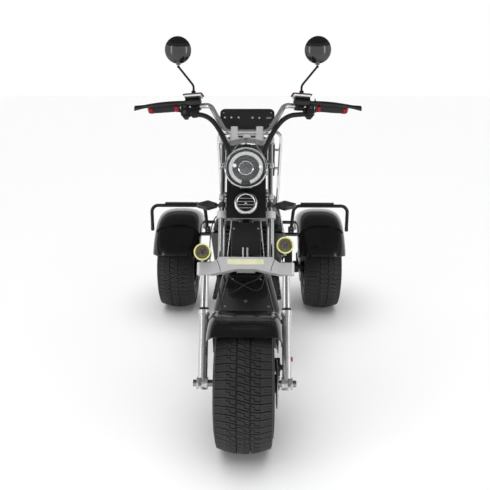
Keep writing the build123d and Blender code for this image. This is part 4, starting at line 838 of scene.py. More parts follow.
# Brake levers: forged black blades, wide and flat, that swell at the tip so that two
# fingers stay on, and turn on a pin in the pump body.
lever_reach, perch_out, pump_radius = 0.455, 0.228, 0.013
blades = bmesh.new()
for side in (-1, 1):
    fore = -side
    start = perch_out + pump_radius
    long = (lever_reach - start) * 1.024 + 0.006
    place = bar_frame(side, start)
    blade = bmesh.new()
    bmesh.ops.create_circle(blade, cap_ends=True, segments=20, radius=1, matrix=along_bar)
    face = next(iter(blade.faces))
    steps = 26
    outline = []
    for step in range(steps + 1):
        share = step / steps
        bow = sin(min(1, share * 1.6) * pi / 2) * 0.015 - 0.010 * share
        drop = -0.012 * share ** 1.5
        tall = 0.0068 + 0.0020 * sin(share * pi) + 0.0048 * max(0, share - 0.82) / 0.18
        deep = 0.0052 - 0.0016 * share + 0.0016 * max(0, share - 0.82) / 0.18
        outline.append((share * long - 0.006, fore * (master_front + bow), drop, deep, tall))
    x, y, z, deep, tall = outline[0]
    for vert in blade.verts:
        vert.co = Vector((x, y + vert.co.y * deep, z + vert.co.z * tall))
    for (_, py, pz, pdeep, ptall), (x, y, z, deep, tall) in zip(outline, outline[1:]):
        made = bmesh.ops.extrude_discrete_faces(blade, faces=[face])
        face = made["faces"][0]
        for vert in face.verts:
            vert.co = Vector((x, y + (vert.co.y - py) / pdeep * deep, z + (vert.co.z - pz) / ptall * tall))
    rounded(blade, list(face.edges), 0.0028, 3)
    bmesh.ops.holes_fill(blade, edges=[e for e in blade.edges if e.is_boundary])
    join(blades, blade, place)
    pin = turned([(0, -0.0105), (0.006, -0.0105), (0.006, 0.0105), (0, 0.0105)], 24)
    join(blades, pin, place @ Matrix.Translation((-0.002, fore * master_front, 0)))
make_piece("lever_blades", blades, satin_black, "steering", ["brake_levers"])

# Mirrors: black domed heads of pressed steel with a thin rolled rim, glass toward the
# rider, each on a bent black stem that screws into the lid of its brake master.
gloss_black = powder_coat("gloss_black", (0.004, 0.004, 0.0045), 0.2, 1.0, 700)
dress("mirror_stems", satin_black, "steering", 0.0006)
dress("mirror_heads", gloss_black, "steering", 0.0018)
glass = bare_metal("mirror_glass", (0.75, 0.76, 0.78), 0.03, smudge=0.01)
glasses = bmesh.new()
low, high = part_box("mirror_heads")
mirror_out, mirror_radius = 0.054, 0.0505
for side in (-1, 1):
    outer = high.x if side > 0 else low.x
    middle = Vector((outer - side * mirror_out, high.y - 0.0005, high.z - mirror_out))
    edge = [(mirror_radius - 0.001, 0.0012), (mirror_radius, 0.0006), (mirror_radius, 0)]
    join(glasses, turned([(0, 0.0012)] + edge, 56), facing(middle, (0, 1, 0)))
make_piece("mirror_glasses", glasses, glass, "steering", ())

# Lamp bracket: a black steel plate held to the tubes by four chromed clamps, with a lip
# and one bolt under the top yoke, and two thin chromed stays down to its corners.
def rod(start, end, radius, steps=20, edge=0.0005):
    """A round bar between two points with softened ends."""
    start, end = Vector(start), Vector(end)
    long = (end - start).length
    flat = radius - edge
    outline = [(0, 0), (flat, 0), (radius, edge), (radius, long - edge), (flat, long), (0, long)]
    shape = turned(outline, steps)
    bmesh.ops.transform(shape, matrix=facing(start, end - start), verts=shape.verts)
    return shape


bracket_front, bracket_top, bracket_half, bracket_low = -0.026, 0.850, 0.074, 0.640
horn_radius, bracket_back = 0.042, -0.022
stays, lip, bracket_bolts, clamps = shapes(4)
plate_corner = (-bracket_half, bracket_front, bracket_low - horn_radius)
join(lip, block(plate_corner, (bracket_half, bracket_back, bracket_top), 0.0011), fork)
for side in (-1, 1):
    for up in (bracket_low + horn_radius, bracket_top - horn_radius):
        inner, edge, outer = (tube_upper_radius + wall for wall in (0.0003, 0.0035, 0.004))
        ring = [(inner, 0.0005), (edge, 0.0005), (outer, 0.0012), (outer, 0.0188), (edge, 0.0195), (inner, 0.0195)]
        join(clamps, turned(ring, 40, closed=True), fork @ Matrix.Translation((side * tube_half, tube_back, up)))
        near, far = sorted((side * (bracket_half - 0.004), side * (tube_half + 0.004)))
        corner = (far, tube_back - tube_upper_radius - 0.001, up + 0.017)
        join(clamps, block((near, bracket_front + 0.0004, up + 0.003), corner, 0.0016), fork)
    join(stays, rod((side * 0.018, 0.008, 0.927), (side * 0.066, -0.030, 0.843), 0.0021, 12), fork)
    join(stays, rod((side * 0.053, -0.005, 0.612), (side * 0.069, -0.005, 0.448), 0.0019, 12), fork)
    pin_x = side * 0.008 - 0.002
    join(stays, rod((pin_x, -0.012, 0.446), (pin_x, -0.012, 0.489), 0.0036, 16), fork)
    spot = fork @ facing((side * 0.079, bracket_front + 0.0004, bracket_low + horn_radius + 0.010), (0, -1, 0))
    join(bracket_bolts, hex_head(0.0046, 0.0045), spot)
join(lip, block((-0.015, bracket_front, 0.846), (0.015, bracket_front + 0.003, 0.890), 0.001, 1), fork)
join(lip, block((-0.015, bracket_front, 0.887), (0.015, 0.014, 0.890), 0.001, 1), fork)
join(bracket_bolts, rod((-0.003, 0.006, 0.884), (-0.003, 0.006, 0.9275), 0.0042, 16), fork)
nut = [
    (0, 0), (0.0054, 0), (0.0058, 0.001), (0.0058, 0.0105), (0.0088, 0.0112), (0.0088, 0.0165),
    (0.0082, 0.0172), (0, 0.0172),
]
join(bracket_bolts, turned(nut, 24), fork @ Matrix.Translation((-0.003, 0.006, 0.9045)))
make_pieces(
    "steering",
    ("bracket_stays", stays, chrome, "chrome"),
    ("bracket_plate", lip, satin_black, "satin_black", "lamp_bracket"),
    ("bracket_clamps", clamps, chrome, "chrome"),
    ("bracket_bolts", bracket_bolts, chrome, "chrome"),
)

# Headlight: a black spun bucket with a chromed rim. Behind its clear glass lie a dark
# bowl, a pale light ring open at the bottom, two white discs painted in as highlights where
# the studio lights reflect in the glass, and a projector lens.
def fork_face(across, front, up):
    """A place on the fork whose Z axis points ahead."""
    return fork @ Matrix.Translation((across, front, up)) @ Matrix.Rotation(pi / 2, 4, "X")


def drawn_section(shape, verts):
    """Closes a row of points into one face, and gives all that a spin needs of it."""
    edges = [shape.edges.new(pair) for pair in zip(verts, verts[1:] + verts[:1])]
    return verts + edges + [shape.faces.new(verts)]


head_front, head_up, head_radius, barrel_radius = -0.140, 0.7585, 0.0775, 0.070
dress("headlight_bucket", gloss_black, "steering", 0.003, segments=3)
lamp_face = fork_face(0, head_front, head_up)
rim, bowl, light_ring, projector, painted_glint_discs, bezel, glass_dome = shapes(7)
rim_outline = [
    (barrel_radius - 0.0005, -0.0137), (head_radius - 0.001, -0.0137), (head_radius, -0.0127),
    (head_radius, -0.0035),
    (head_radius - 0.0012, -0.0009), (head_radius - 0.0034, 0), (head_radius - 0.0056, -0.0009),
    (head_radius - 0.0068, -0.003), (barrel_radius - 0.0005, -0.0045),
]
join(rim, turned(rim_outline, 96, closed=True), lamp_face)
dark_bowl = powder_coat("dark_bowl", (0.006, 0.006, 0.0065), 0.3, 0.3, 300)
inner = [
    (0.0697, -0.004), (0.0697, -0.012), (0.0655, -0.013), (0.0640, -0.0065), (0.0625, -0.012), (0.0480, -0.012),
    (0.0465, -0.0075), (0.0445, -0.0125), (0.0345, -0.0131), (0.0335, -0.0095), (0.0300, -0.0095),
    (0.0285, -0.0131),
    (0, -0.0131), (0, -0.0136), (0.0699, -0.0136),
]
join(bowl, turned(inner, 96), lamp_face)
for turn in range(24):
    rib = block((0.0348, -0.0006, -0.0135), (0.0450, 0.0006, -0.0102), 0.0002, 1)
    join(bowl, rib, lamp_face @ Matrix.Rotation(turn * pi / 12, 4, "Z"))
pale_light = mottled(
    "pale_light", "cells", 260, (0.2, (0.42, 0.425, 0.43)), (0.8, (0.60, 0.605, 0.61)),
    relief=(0.3, 0.0005), Roughness=0.3, Coat_Weight=0.5,
)
ring_outline = [
    (0.0482, -0.0118), (0.0490, -0.0085), (0.0510, -0.0068), (0.0600, -0.0068), (0.0622, -0.0085),
    (0.0624, -0.0118),
]
section = drawn_section(light_ring, [light_ring.verts.new((r, 0, z)) for r, z in ring_outline])
ring_turn, ring_steps, gap_turn = radians(328), 82, Matrix.Rotation(radians(-74), 4, "Z")
bmesh.ops.spin(light_ring, geom=section, cent=(0, 0, 0), axis=(0, 0, 1), angle=ring_turn, steps=ring_steps)
bmesh.ops.transform(light_ring, matrix=lamp_face @ gap_turn, verts=light_ring.verts)
projector_glass = mottled(
    "projector_glass", "cells", 90, (0.2, (0.020, 0.020, 0.022)), (0.9, (0.075, 0.075, 0.080)),
    Roughness=0.06, Coat_Weight=1.0, Metallic=0.2,
)
dome = [(0.0238, -0.0128), (0.0232, -0.0108)]
dome += [(0.0232 * cos(radians(a)), -0.0108 + 0.0058 * sin(radians(a))) for a in (10, 25, 40, 55, 70, 82)]
join(projector, turned(dome + [(0, -0.005)], 64), lamp_face)
# Two white domed discs where the studio lights' reflections fall in the glass: painted highlights, not lamps.
for across, up, radius in ((-0.041, 0.008, 0.0072), (0.0525, 0.004, 0.0062)):
    glint_disc = turned([(radius, -0.008), (radius, -0.0025), (radius * 0.7, -0.0008), (0, -0.0004)], 24)
    join(painted_glint_discs, glint_disc, lamp_face @ Matrix.Translation((across, up, -0.0045)))
# Near-white colour of the painted highlights.
painted_glint_white = mottled(
    "painted_glint_white", "noise", 90, (0.3, (0.78, 0.79, 0.80)), (0.7, (0.88, 0.88, 0.88)),
    Roughness=0.2, Coat_Weight=1.0,
)
ring = [(0.0236, -0.0132), (0.0236, -0.0082), (0.0250, -0.0068), (0.0278, -0.0082), (0.0282, -0.0132)]
join(bezel, turned(ring, 64, closed=True), lamp_face)
clear_glass = Finish("clear_glass")
clear_glass.set(Base_Color=(0.8, 0.82, 0.84, 1), Roughness=0.02, Coat_Weight=1.0, Coat_Roughness=0.01)
clear_glass.set(Alpha=0.03 + clear_glass.noise(12, 4) * 0.04)
dome = [(0.0694, -0.0042), (0.0694, -0.0030)]
dome += [(0.069 * sin(radians(a)), -0.0030 + 0.0026 * cos(radians(a))) for a in (80, 66, 52, 38, 24, 12)]
join(glass_dome, turned(dome + [(0, -0.0004), (0, -0.0020), (0.0500, -0.0026)], 72), lamp_face)
make_pieces(
    "steering",
    ("headlight_rim", rim, chrome, "chrome", "headlight_ring"),
    ("headlight_bowl", bowl, dark_bowl, "black_plastic"),
    ("headlight_light_ring", light_ring, pale_light, "lens"),
    ("headlight_projector", projector, projector_glass, "lens"),
    ("headlight_painted_glints", painted_glint_discs, painted_glint_white, "lens"),
    ("projector_bezel", bezel, chrome, "chrome"),
    ("headlight_glass", glass_dome, clear_glass, "lens", "headlight_lens"),
)

# Horn: a black pressed can behind a wide chromed ring, with four slats across a
# punched dark sheet.
horn_front, horn_open, horn_deep = -0.090, 0.030, 0.0635
horn_face = fork_face(0, horn_front, bracket_low)
horn_can, horn_ring, horn_slats = shapes(3)
can = [
    (0, -0.013), (horn_open, -0.013), (horn_open + 0.002, -0.0115), (horn_radius - 0.004, -0.0115),
    (horn_radius - 0.004, -0.050), (horn_open, -horn_deep), (0, -horn_deep),
]
join(horn_can, turned(can, 64), horn_face)
ring = [
    (horn_open, -0.0115), (horn_open - 0.0004, -0.004), (horn_open + 0.001, -0.0015),
    (horn_open + 0.0035, -0.0002), (horn_radius - 0.0045, -0.0010), (horn_radius - 0.0015, -0.0035),
    (horn_radius, -0.007), (horn_radius, -0.0125), (horn_radius - 0.001, -0.0135),
]
join(horn_ring, turned(ring, 72, closed=True), horn_face)
for step in range(4):
    up = horn_open * (2 * (step + 1) / 5 - 1)
    reach = sqrt(horn_open ** 2 - up ** 2) + 0.0005
    join(horn_slats, block((-reach, up - 0.0013, -0.0085), (reach, up + 0.0013, -0.0050), 0.0006, 2), horn_face)
join(horn_slats, turned([(0.0042, -0.009), (0.0042, -0.0042), (0.003, -0.0034), (0, -0.0032)], 20), horn_face)
punched = powder_coat("punched_sheet", (0.004, 0.004, 0.004), 0.5)
punched.set(Normal=punched.bump(punched.cells(330), 0.6, 0.0015))
make_pieces(
    "steering",
    ("horn_can", horn_can, punched, "black_plastic", "horn"),
    ("horn_ring", horn_ring, chrome, "chrome"),
    ("horn_slats", horn_slats, polished, "chrome"),
)

# Dash: a gloss black moulded case with a raised rim inside its edge, held by eight
# small screws, and a chromed key barrel at its left end.
dash_half, dash_low, dash_high, dash_front = 0.110, 0.976, 1.076, 0.062
dash_black = powder_coat("dash_black", (0.012, 0.012, 0.0125), 0.24, 0.8, 700)
dress("dash_housing", dash_black, "steering", 0.006, 40, 4)
dash_rim, dash_screws, key_barrel = shapes(3)
dash_face = fork_face(0, dash_front, 0)
inset = dash_half - 0.010
panel = block((-inset, dash_low + 0.010, -0.002), (inset, dash_high - 0.009, 0.0012), 0, 1)
upright = [e for e in panel.edges if abs(e.verts[0].co.z - e.verts[1].co.z) > 0.001]
rounded(panel, upright, 0.014, 5)
top = [f for f in panel.faces if f.normal.z > 0.9]
bmesh.ops.inset_region(panel, faces=top, thickness=0.0022, depth=0)
bmesh.ops.inset_region(panel, faces=top, thickness=0.0008, depth=-0.0011)
join(dash_rim, panel, dash_face)
row_screw, edge_screw = 0.0040, 0.0024
for across, up, radius in (
    (-0.0905, 1.0376, row_screw), (-0.0643, 1.0376, row_screw), (-0.0352, 1.0376, row_screw),
    (0.0213, 1.0366, row_screw), (0.0487, 1.0358, row_screw), (-0.096, 1.058, edge_screw),
    (0.096, 1.058, edge_screw), (0.0905, 1.008, edge_screw),
):
    join(dash_screws, button_head(radius, 0.0022), dash_face @ Matrix.Translation((across, up, 0)))
barrel = block((0.0765, 1.0322, -0.001), (0.0975, 1.0400, 0.0042), 0.0024, 3)
join(key_barrel, barrel, dash_face)
make_pieces(
    "steering",
    ("dash_rim", dash_rim, dash_black, "gloss_black"),
    ("dash_screws", dash_screws, cast_silver, "chrome"),
    ("key_barrel", key_barrel, chrome, "chrome"),
)

# Front indicators: pointed lamps of smoked plastic with a small even relief, each on
# its stem beside the tube.
smoked = mottled(
    "smoked_lens", "cells", 210, (0.25, (0.055, 0.052, 0.048)), (0.55, (0.008, 0.008, 0.008)),
    relief=(0.5, 0.0006), Roughness=0.3, Coat_Weight=0.5, Coat_Roughness=0.1,
)
dress("turn_signals_front", smoked, "steering", 0.0018)

# Driving lamps: small black finned cans on feet over the fork's ends, each with a
# pale yellow painted ring round its brown-tinted glass, the ring's inner cone painted a
# darker olive as shade, and a swivel bolt underneath.
spot_front, spot_radius = -0.068, 0.031
tinted = mottled(
    "tinted_glass", "cells", 240, (0.15, (0.040, 0.026, 0.014)), (0.8, (0.13, 0.105, 0.075)),
    relief=(0.4, 0.0006), Roughness=0.16, Coat_Weight=1.0,
)
# The yellow ring's colour darkened: painted shade for the ring's inner cone.
ring_shade_olive = powder_coat("painted_ring_shade", (0.085, 0.075, 0.012), 0.3, 0.4)
dress("spot_lamps", satin_black, "steering", 0.001)
spot_rings, spot_glass, spot_eyes, spot_bolts, spot_fins, spot_shaded_cones = shapes(6)
for across, up in ((-0.156, 0.462), (0.143, 0.488)):
    face = fork_face(across, spot_front, up)
    outline = [
        (spot_radius - 0.0058, -0.0040), (spot_radius - 0.0052, -0.0008), (spot_radius - 0.0040, 0),
        (spot_radius - 0.0016, 0), (spot_radius - 0.0002, -0.0012), (spot_radius, -0.003), (spot_radius, -0.0077),
        (spot_radius - 0.0058, -0.0077),
    ]
    join(spot_rings, turned(outline, 64, closed=True), face)
    join(spot_glass, turned([(0.0205, -0.0079), (0.0205, -0.0056), (0.0160, -0.0044), (0, -0.0036)], 56), face)
    # The ring's inner cone, between glass and ring, coloured with the painted olive shade.
    cone = [
        (0.0200, -0.0079), (0.0200, -0.0052), (0.0212, -0.0048), (0.0250, -0.0026), (0.0254, -0.0030),
        (0.0254, -0.0079),
    ]
    join(spot_shaded_cones, turned(cone, 56, closed=True), face)
    eye = [(0.0095, -0.0050), (0.0095, -0.0034), (0.0080, -0.0026), (0.0062, -0.0031), (0, -0.0030)]
    join(spot_eyes, turned(eye, 32), face)
    for fin in range(4):
        at = -0.018 - fin * 0.007
        near, far = spot_radius - 0.005, spot_radius - 0.0006
        fin_outline = [(near, at), (far, at), (far, at - 0.0028), (near, at - 0.0028)]
        join(spot_fins, turned(fin_outline, 56, closed=True), face)
    side = 1 if across > 0 else -1
    for back in (-0.004, 0.0045):
        spot = fork @ Matrix.Translation((side * (fork_half + 0.010), back, 0.4353))
        join(spot_bolts, hex_head(0.0050, 0.0055), spot)
    nub = fork @ Matrix.Translation((across, spot_front + 0.012, up - spot_radius - 0.006))
    join(spot_bolts, turned([(0, 0), (0.0045, 0.0005), (0.0055, 0.002), (0.0055, 0.0072), (0, 0.0078)], 20), nub)
make_pieces(
    "steering",
    ("spot_painted_rings", spot_rings, pale_ring, "yellow_ring", "spot_rings"),
    ("spot_glasses", spot_glass, tinted, "lens"),
    ("spot_shaded_cones", spot_shaded_cones, ring_shade_olive, "yellow_ring"),
    ("spot_eyes", spot_eyes, projector_glass, "lens"),
    ("spot_fins", spot_fins, satin_black, "satin_black"),
    ("spot_bolts", spot_bolts, zinc_steel, "steel"),
)

# Front fender: a pressed black guard with softened edges, held by the sliders.
# Brake: a black cast caliper on an arm beside the disc, with two bolts on each face.
fender_black = powder_coat("fender_black", (0.0035, 0.0035, 0.004), 0.2, 0.6, 500, 0.3)
dress("front_fender", fender_black, "steering", 0.0016)
dress("front_caliper", satin_black, "steering", 0.0024, segments=3)
caliper_skin = skin_of("front_caliper")
caliper_bolts = bmesh.new()
disc_plane, rake_degrees, reach = (disc_low.x + disc_high.x) / 2, 27, 0.08
for turn in (35, 55):
    way = Vector((0, sin(radians(turn + rake_degrees)), cos(radians(turn + rake_degrees))))
    for side in (-1, 1):
        start = Vector((disc_plane + side * reach, front_hub.y, front_hub.z)) + way * 0.082
        fasten(caliper_bolts, button_head(0.005, 0.004), caliper_skin, start, (-side, 0, 0))
make_piece("front_caliper_bolts", caliper_bolts, zinc_steel, "steering", ())


# Sleeves and hose: corrugated black nylon sleeves carry the wires from the bar down
# between the tubes, and a smooth rubber hose runs behind the cover at the head tube.
def along_route(route, step, base=fork):
    """Points at even steps on the smooth line of a route given in millimetres from a base."""
    line = bpy.data.curves.new("route", "CURVE")
    line.dimensions, line.resolution_u = "3D", 16
    spline = line.splines.new("NURBS")
    spline.points.add(len(route) - 1)
    for point, place in zip(spline.points, route):
        point.co = (*(base @ (Vector(place) / 1000)), 1)
    spline.order_u, spline.use_endpoint_u = 3, True
    holder = bpy.data.objects.new("route", line)
    mesh = bpy.data.meshes.new_from_object(holder)
    dense = [v.co.copy() for v in mesh.vertices]
    bpy.data.objects.remove(holder)
    bpy.data.meshes.remove(mesh)
    points, gone = [dense[0]], 0.0
    for before, after in zip(dense, dense[1:]):
        span = (after - before).length
        while gone + span >= step:
            before = before.lerp(after, (step - gone) / span)
            span = (after - before).length
            points.append(before)
            gone = 0.0
        gone += span
    return points


def swept(points, radius_at, segments=14):
    """A round tube drawn along points, its radius given at each step, closed at both ends."""
    shape = bmesh.new()
    way = points[1] - points[0]
    bmesh.ops.create_circle(
        shape, cap_ends=True, segments=segments, radius=radius_at(0), matrix=facing(points[0], way),
    )
    ring = list(shape.edges)
    for index in range(1, len(points)):
        after = points[min(index + 1, len(points) - 1)]
        new_way = (after - points[index - 1]).normalized()
        bend = way.normalized().rotation_difference(new_way).to_matrix()
        made = bmesh.ops.extrude_edge_only(shape, edges=ring)["geom"]
        verts = [v for v in made if isinstance(v, bmesh.types.BMVert)]
        share = radius_at(index) / radius_at(index - 1)
        for vert in verts:
            vert.co = points[index] + bend @ (vert.co - points[index - 1]) * share
        ring = [e for e in made if isinstance(e, bmesh.types.BMEdge)]
        way = new_way
    bmesh.ops.edgeloop_fill(shape, edges=ring)
    return shape


sleeve_route = (
    (235, 84, 1062), (202, 74, 1056), (170, 58, 1044), (138, 36, 1014), (113, 8, 970), (97, -13, 934),
    (78, -12.4, 893), (59, -11, 842), (58, -11.6, 775), (57, -11.7, 706), (53, -11.6, 640),
)
hose_route = (
    (-44, 54.4, 572), (-45, 84, 571), (-62, 112, 556), (-90, 126, 526), (-110, 134, 486),
    (-118, 140, 440), (-112, 148, 386), (-104, 158, 330), (-98, 170, 280), (-86, 186, 236),
)
sleeves, hose = bmesh.new(), bmesh.new()
for side in (-1, 1):
    mirrored = [(side * x, y, z) for x, y, z in sleeve_route]
    line = along_route(mirrored, 0.0014)
    join(sleeves, swept(line, lambda index: (0.0094, 0.0100, 0.0100, 0.0094)[index % 4]))
nylon = powder_coat("sleeve_nylon", (0.009, 0.009, 0.0095), 0.55, peel=900, shine=0.3)
make_piece("wire_sleeves", sleeves, nylon, "steering", ["cable_sleeves"])
line = along_route(hose_route, 0.004)
join(hose, swept(line, lambda index: 0.0040, 16))
make_piece("smooth_hose", hose, grip_rubber, "frame", ["brake_hose"])

# Thin leads: two black wires that hang crossed in front of the shield, rail to rail,
# and one that loops down beside the cover to the lower yoke.
leads = bmesh.new()
lead_black = powder_coat("lead_black", (0.016, 0.016, 0.016), 0.4, peel=900)
for route in (
    (
        (-85, -343, 520), (-62, -341, 488), (-9, -334, 459), (32, -328, 434), (62, -328, 444), (70, -337, 480),
        (79, -344, 520),
    ),
    (
        (70, -345, 524), (54, -341, 492), (-5, -334, 468), (-45, -328, 434), (-74, -328, 422), (-91, -337, 456),
        (-95, -345, 508),
    ),
):
    join(leads, swept(along_route(route, 0.004, Matrix.Identity(4)), lambda index: 0.0021, 8))
make_piece("crossed_leads", leads, lead_black, "frame", ())
loop_lead = bmesh.new()
loop_route = ((-80, 34, 640), (-112, 40, 628), (-130, 36, 596), (-136, 30, 540), (-137, 24, 480), (-134, 20, 440))
join(loop_lead, swept(along_route(loop_route, 0.004), lambda index: 0.0022, 8))
make_piece("loop_lead", loop_lead, lead_black, "steering", ())

# Frame: a head tube and two bent side rails of welded steel tube, painted gloss black.
# A moulded cover closes the head tube, and a sloping plate guards the space behind the wheel.
frame_black = powder_coat("frame_black", (0.004, 0.004, 0.0045), 0.24, 0.8, 600)
dress("main_frame", frame_black, "frame", 0.0012)
dress("front_panel", moulded_black, "frame", 0.006, 32, 4)
dress("front_shield", frame_black, "frame", 0.0012)
frame_bolts = bmesh.new()
cover_skin, shield_skin = skin_of("front_panel"), skin_of("front_shield")
for side in (-1, 1):
    start = fork @ Vector((side * 0.046, -0.08, 0.568))
    fasten(frame_bolts, button_head(0.0044, 0.003), cover_skin, start, ahead)
    for across, up in ((0.058, 0.485), (0.092, 0.352)):
        fasten(frame_bolts, button_head(0.0045, 0.003), shield_skin, (side * across, -0.6, up), (0, 1, 0))
fasten(frame_bolts, hex_head(0.0062, 0.005), shield_skin, (-0.005, -0.6, 0.379), (0, 1, 0))
make_piece("frame_bolts", frame_bolts, zinc_steel, "frame", ())

# Battery box and deck: a moulded case slung between the rails, ribbed and with a lid line
# along each side, under a moulded foot deck with a ribbed rubber mat screwed round it.
textured = powder_coat("textured_plastic", (0.011, 0.011, 0.0115), 0.58, peel=700, shine=0.3)
dress("battery_box", textured, "frame", 0.004, 32, 3)
dress("deck", textured, "frame", 0.004, 32, 3)
box_low, box_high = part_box("battery_box")
deck_low, deck_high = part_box("deck")
mat_low, mat_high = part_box("deck_mat")
box_trim, box_screws, mat_ribs = shapes(3)
rib_count, rib_low, rib_high, lid_up = 9, box_low.z + 0.018, box_high.z - 0.03, box_high.z - 0.026


def box_rib(x, y, half_x, half_y, low, high, edge):
    """A raised bar on the case, given by its middle and half sizes."""
    join(box_trim, block((x - half_x, y - half_y, low), (x + half_x, y + half_y, high), edge))


for index in range(rib_count):
    y = box_low.y + 0.06 + (box_high.y - box_low.y - 0.12) * index / (rib_count - 1)
    for x in (box_low.x, box_high.x):
        box_rib(x, y, 0.0012, 0.004, rib_low, rib_high, 0.001)
for x in (box_low.x, box_high.x):
    low, high = (x - 0.002, box_low.y + 0.012, lid_up), (x + 0.002, box_high.y - 0.012, box_high.z - 0.020)
    join(box_trim, block(low, high, 0.0012))
for y in (box_low.y - 0.0012, box_low.y + 0.0012):
    for x in (-0.05, 0, 0.05):
        box_rib(x, y, 0.004, 0.001, rib_low, rib_high, 0.0008)
for side in (-1, 1):
    for y in (deck_low.y + 0.03, deck_low.y + 0.115, deck_low.y + 0.2):
        spot = facing((side * (deck_high.x - 0.006), y, deck_high.z - 0.0004), (0, 0, 1))
        join(box_screws, button_head(0.004, 0.0024), spot)
make_piece("battery_box_ribs", box_trim, textured, "frame", ())
make_piece("deck_screws", box_screws, zinc_steel, "frame", ())
join(mat_ribs, block(mat_low, (mat_high.x, mat_high.y, mat_high.z - 0.002), 0.0008, 1))
ribs = 15
for index in range(ribs):
    x = mat_low.x + 0.014 + (mat_high.x - mat_low.x - 0.028) * index / (ribs - 1)
    low = (x - 0.0042, mat_low.y + 0.010, mat_high.z - 0.0025)
    join(mat_ribs, block(low, (x + 0.0042, mat_high.y - 0.010, mat_high.z), 0.0011))
make_piece("ribbed_mat", mat_ribs, grip_rubber, "frame", ["deck_mat"])

# Seat base: a gloss black moulded body, with two seams and a row of screws along each
# side, a round lock and a grille in front. The seat turns on a steel pin at its front.
dress("seat_base", gloss_black, "frame", 0.008, 32, 4)
dress("seat_hinge", zinc_steel, "frame", 0.0008)
dress("seat_pan", textured, "seat", 0.003, 32, 3)
base_low, base_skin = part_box("seat_base")[0], skin_of("seat_base")
panels, seams, locks = shapes(3)
for side in (-1, 1):
    for up, start, end in ((0.425, 0.02, 0.18), (0.555, 0.02, 0.48)):
        path = [(side * 0.5, base_low.y + start + (end - start) * step / 24, up) for step in range(25)]
        join(seams, seam(base_skin, path, (-side, 0, 0), 0.0026, 0.0004))
    for y in (0.045, 0.16, 0.30, 0.44):
        start = (side * 0.5, base_low.y + y, 0.575)
        fasten(locks, button_head(0.0042, 0.0026), base_skin, start, (-side, 0, 0))
place = seat(base_skin, (0.5, base_low.y + 0.42, 0.535), (-1, 0, 0))
lock = [(0.0125, -0.004), (0.0125, 0.001), (0.0110, 0.0026), (0.0085, 0.0026), (0.0080, 0.0016), (0, 0.0016)]
join(locks, turned(lock, 36), place)
for up in range(7):
    at = base_low.z + 0.045 + up * 0.019
    place = seat(base_skin, (0, base_low.y - 0.1, at), (0, 1, 0))
    join(panels, block((-0.085, -0.0025, -0.001), (0.085, 0.0025, 0.0026), 0.0016, 2), place)
make_pieces(
    "frame",
    ("seat_base_seams", seams, joint_black, "black_plastic"),
    ("seat_base_fixings", locks, zinc_steel, "steel"),
    ("seat_base_grille", panels, textured, "black_plastic"),
)


# Saddle: black vinyl over foam, blown up a little by its own filling, with a welt round
# its shoulder, three sewn channels across its top and a stitched row beside each.
def leathered(name, tone, rough):
    finish = Finish(name)
    grain = finish.cells(620, "DISTANCE_TO_EDGE")
    cloud = finish.noise(11, 5)
    shade = finish.ramp(cloud, (0.3, (tone * 0.8,) * 3), (0.75, (tone * 1.4,) * 3))
    finish.set(Base_Color=shade, Roughness=rough - 0.08 + cloud * 0.16, Specular_IOR_Level=0.42)
    creases = finish.ramp(grain, (0.0, (0, 0, 0)), (0.12, (1, 1, 1)))
    finish.set(Sheen_Weight=0.06, Normal=finish.bump(creases, 0.35, 0.0004))
    return finish


def blown_pad(node, shrink, voxel, swell, hold):
    """The plain pad drawn in a little, meshed evenly and blown up by cloth pressure up to a limit."""
    shape = welded(node)
    low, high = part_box(node)
    middle, size = (low + high) / 2, high - low
    scale = [(side - 2 * shrink) / side for side in size]
    for vert in shape.verts:
        vert.co = middle + Vector([a * b for a, b in zip(vert.co - middle, scale)])
    bmesh.ops.remove_doubles(shape, verts=shape.verts, dist=0.00002)
    mesh = bpy.data.meshes.new(node + "_foam")
    shape.to_mesh(mesh)
    shape.free()
    foam = bpy.data.objects.new(node + "_foam", mesh)
    bpy.context.scene.collection.objects.link(foam)
    even = foam.modifiers.new("even", "REMESH")
    even.mode, even.voxel_size = "VOXEL", voxel
    graph = bpy.context.evaluated_depsgraph_get()
    meshed = bpy.data.meshes.new_from_object(foam.evaluated_get(graph))
    foam.modifiers.clear()
    foam.data = meshed
    rest = [v.co.copy() for v in meshed.vertices]
    cloth = foam.modifiers.new("cloth", "CLOTH")
    cloth.settings.quality = 4
    cloth.settings.use_pressure = True
    cloth.settings.uniform_pressure_force = swell
    cloth.settings.effector_weights.gravity = 0
    cloth.collision_settings.use_collision = False
    for frame_number in range(1, 21):
        bpy.context.scene.frame_set(frame_number)
    graph = bpy.context.evaluated_depsgraph_get()
    blown = foam.evaluated_get(graph)
    moved = [v.co.copy() for v in blown.data.vertices]
    bpy.context.scene.frame_set(1)
    shape = bmesh.new()
    shape.from_mesh(meshed)
    shape.verts.ensure_lookup_table()
    for vert, start, end in zip(shape.verts, rest, moved):
        step = end - start
        vert.co = start + (step if step.length < hold else step * (hold / step.length))
    bpy.data.objects.remove(foam)
    every_way = {"factor": 0.5, "use_axis_x": True, "use_axis_y": True, "use_axis_z": True}
    bmesh.ops.smooth_vert(shape, verts=shape.verts, **every_way)
    bmesh.ops.subdivide_edges(shape, edges=shape.edges, cuts=1, use_grid_fill=True, smooth=0)
    bmesh.ops.smooth_vert(shape, verts=shape.verts, **every_way)
    return shape


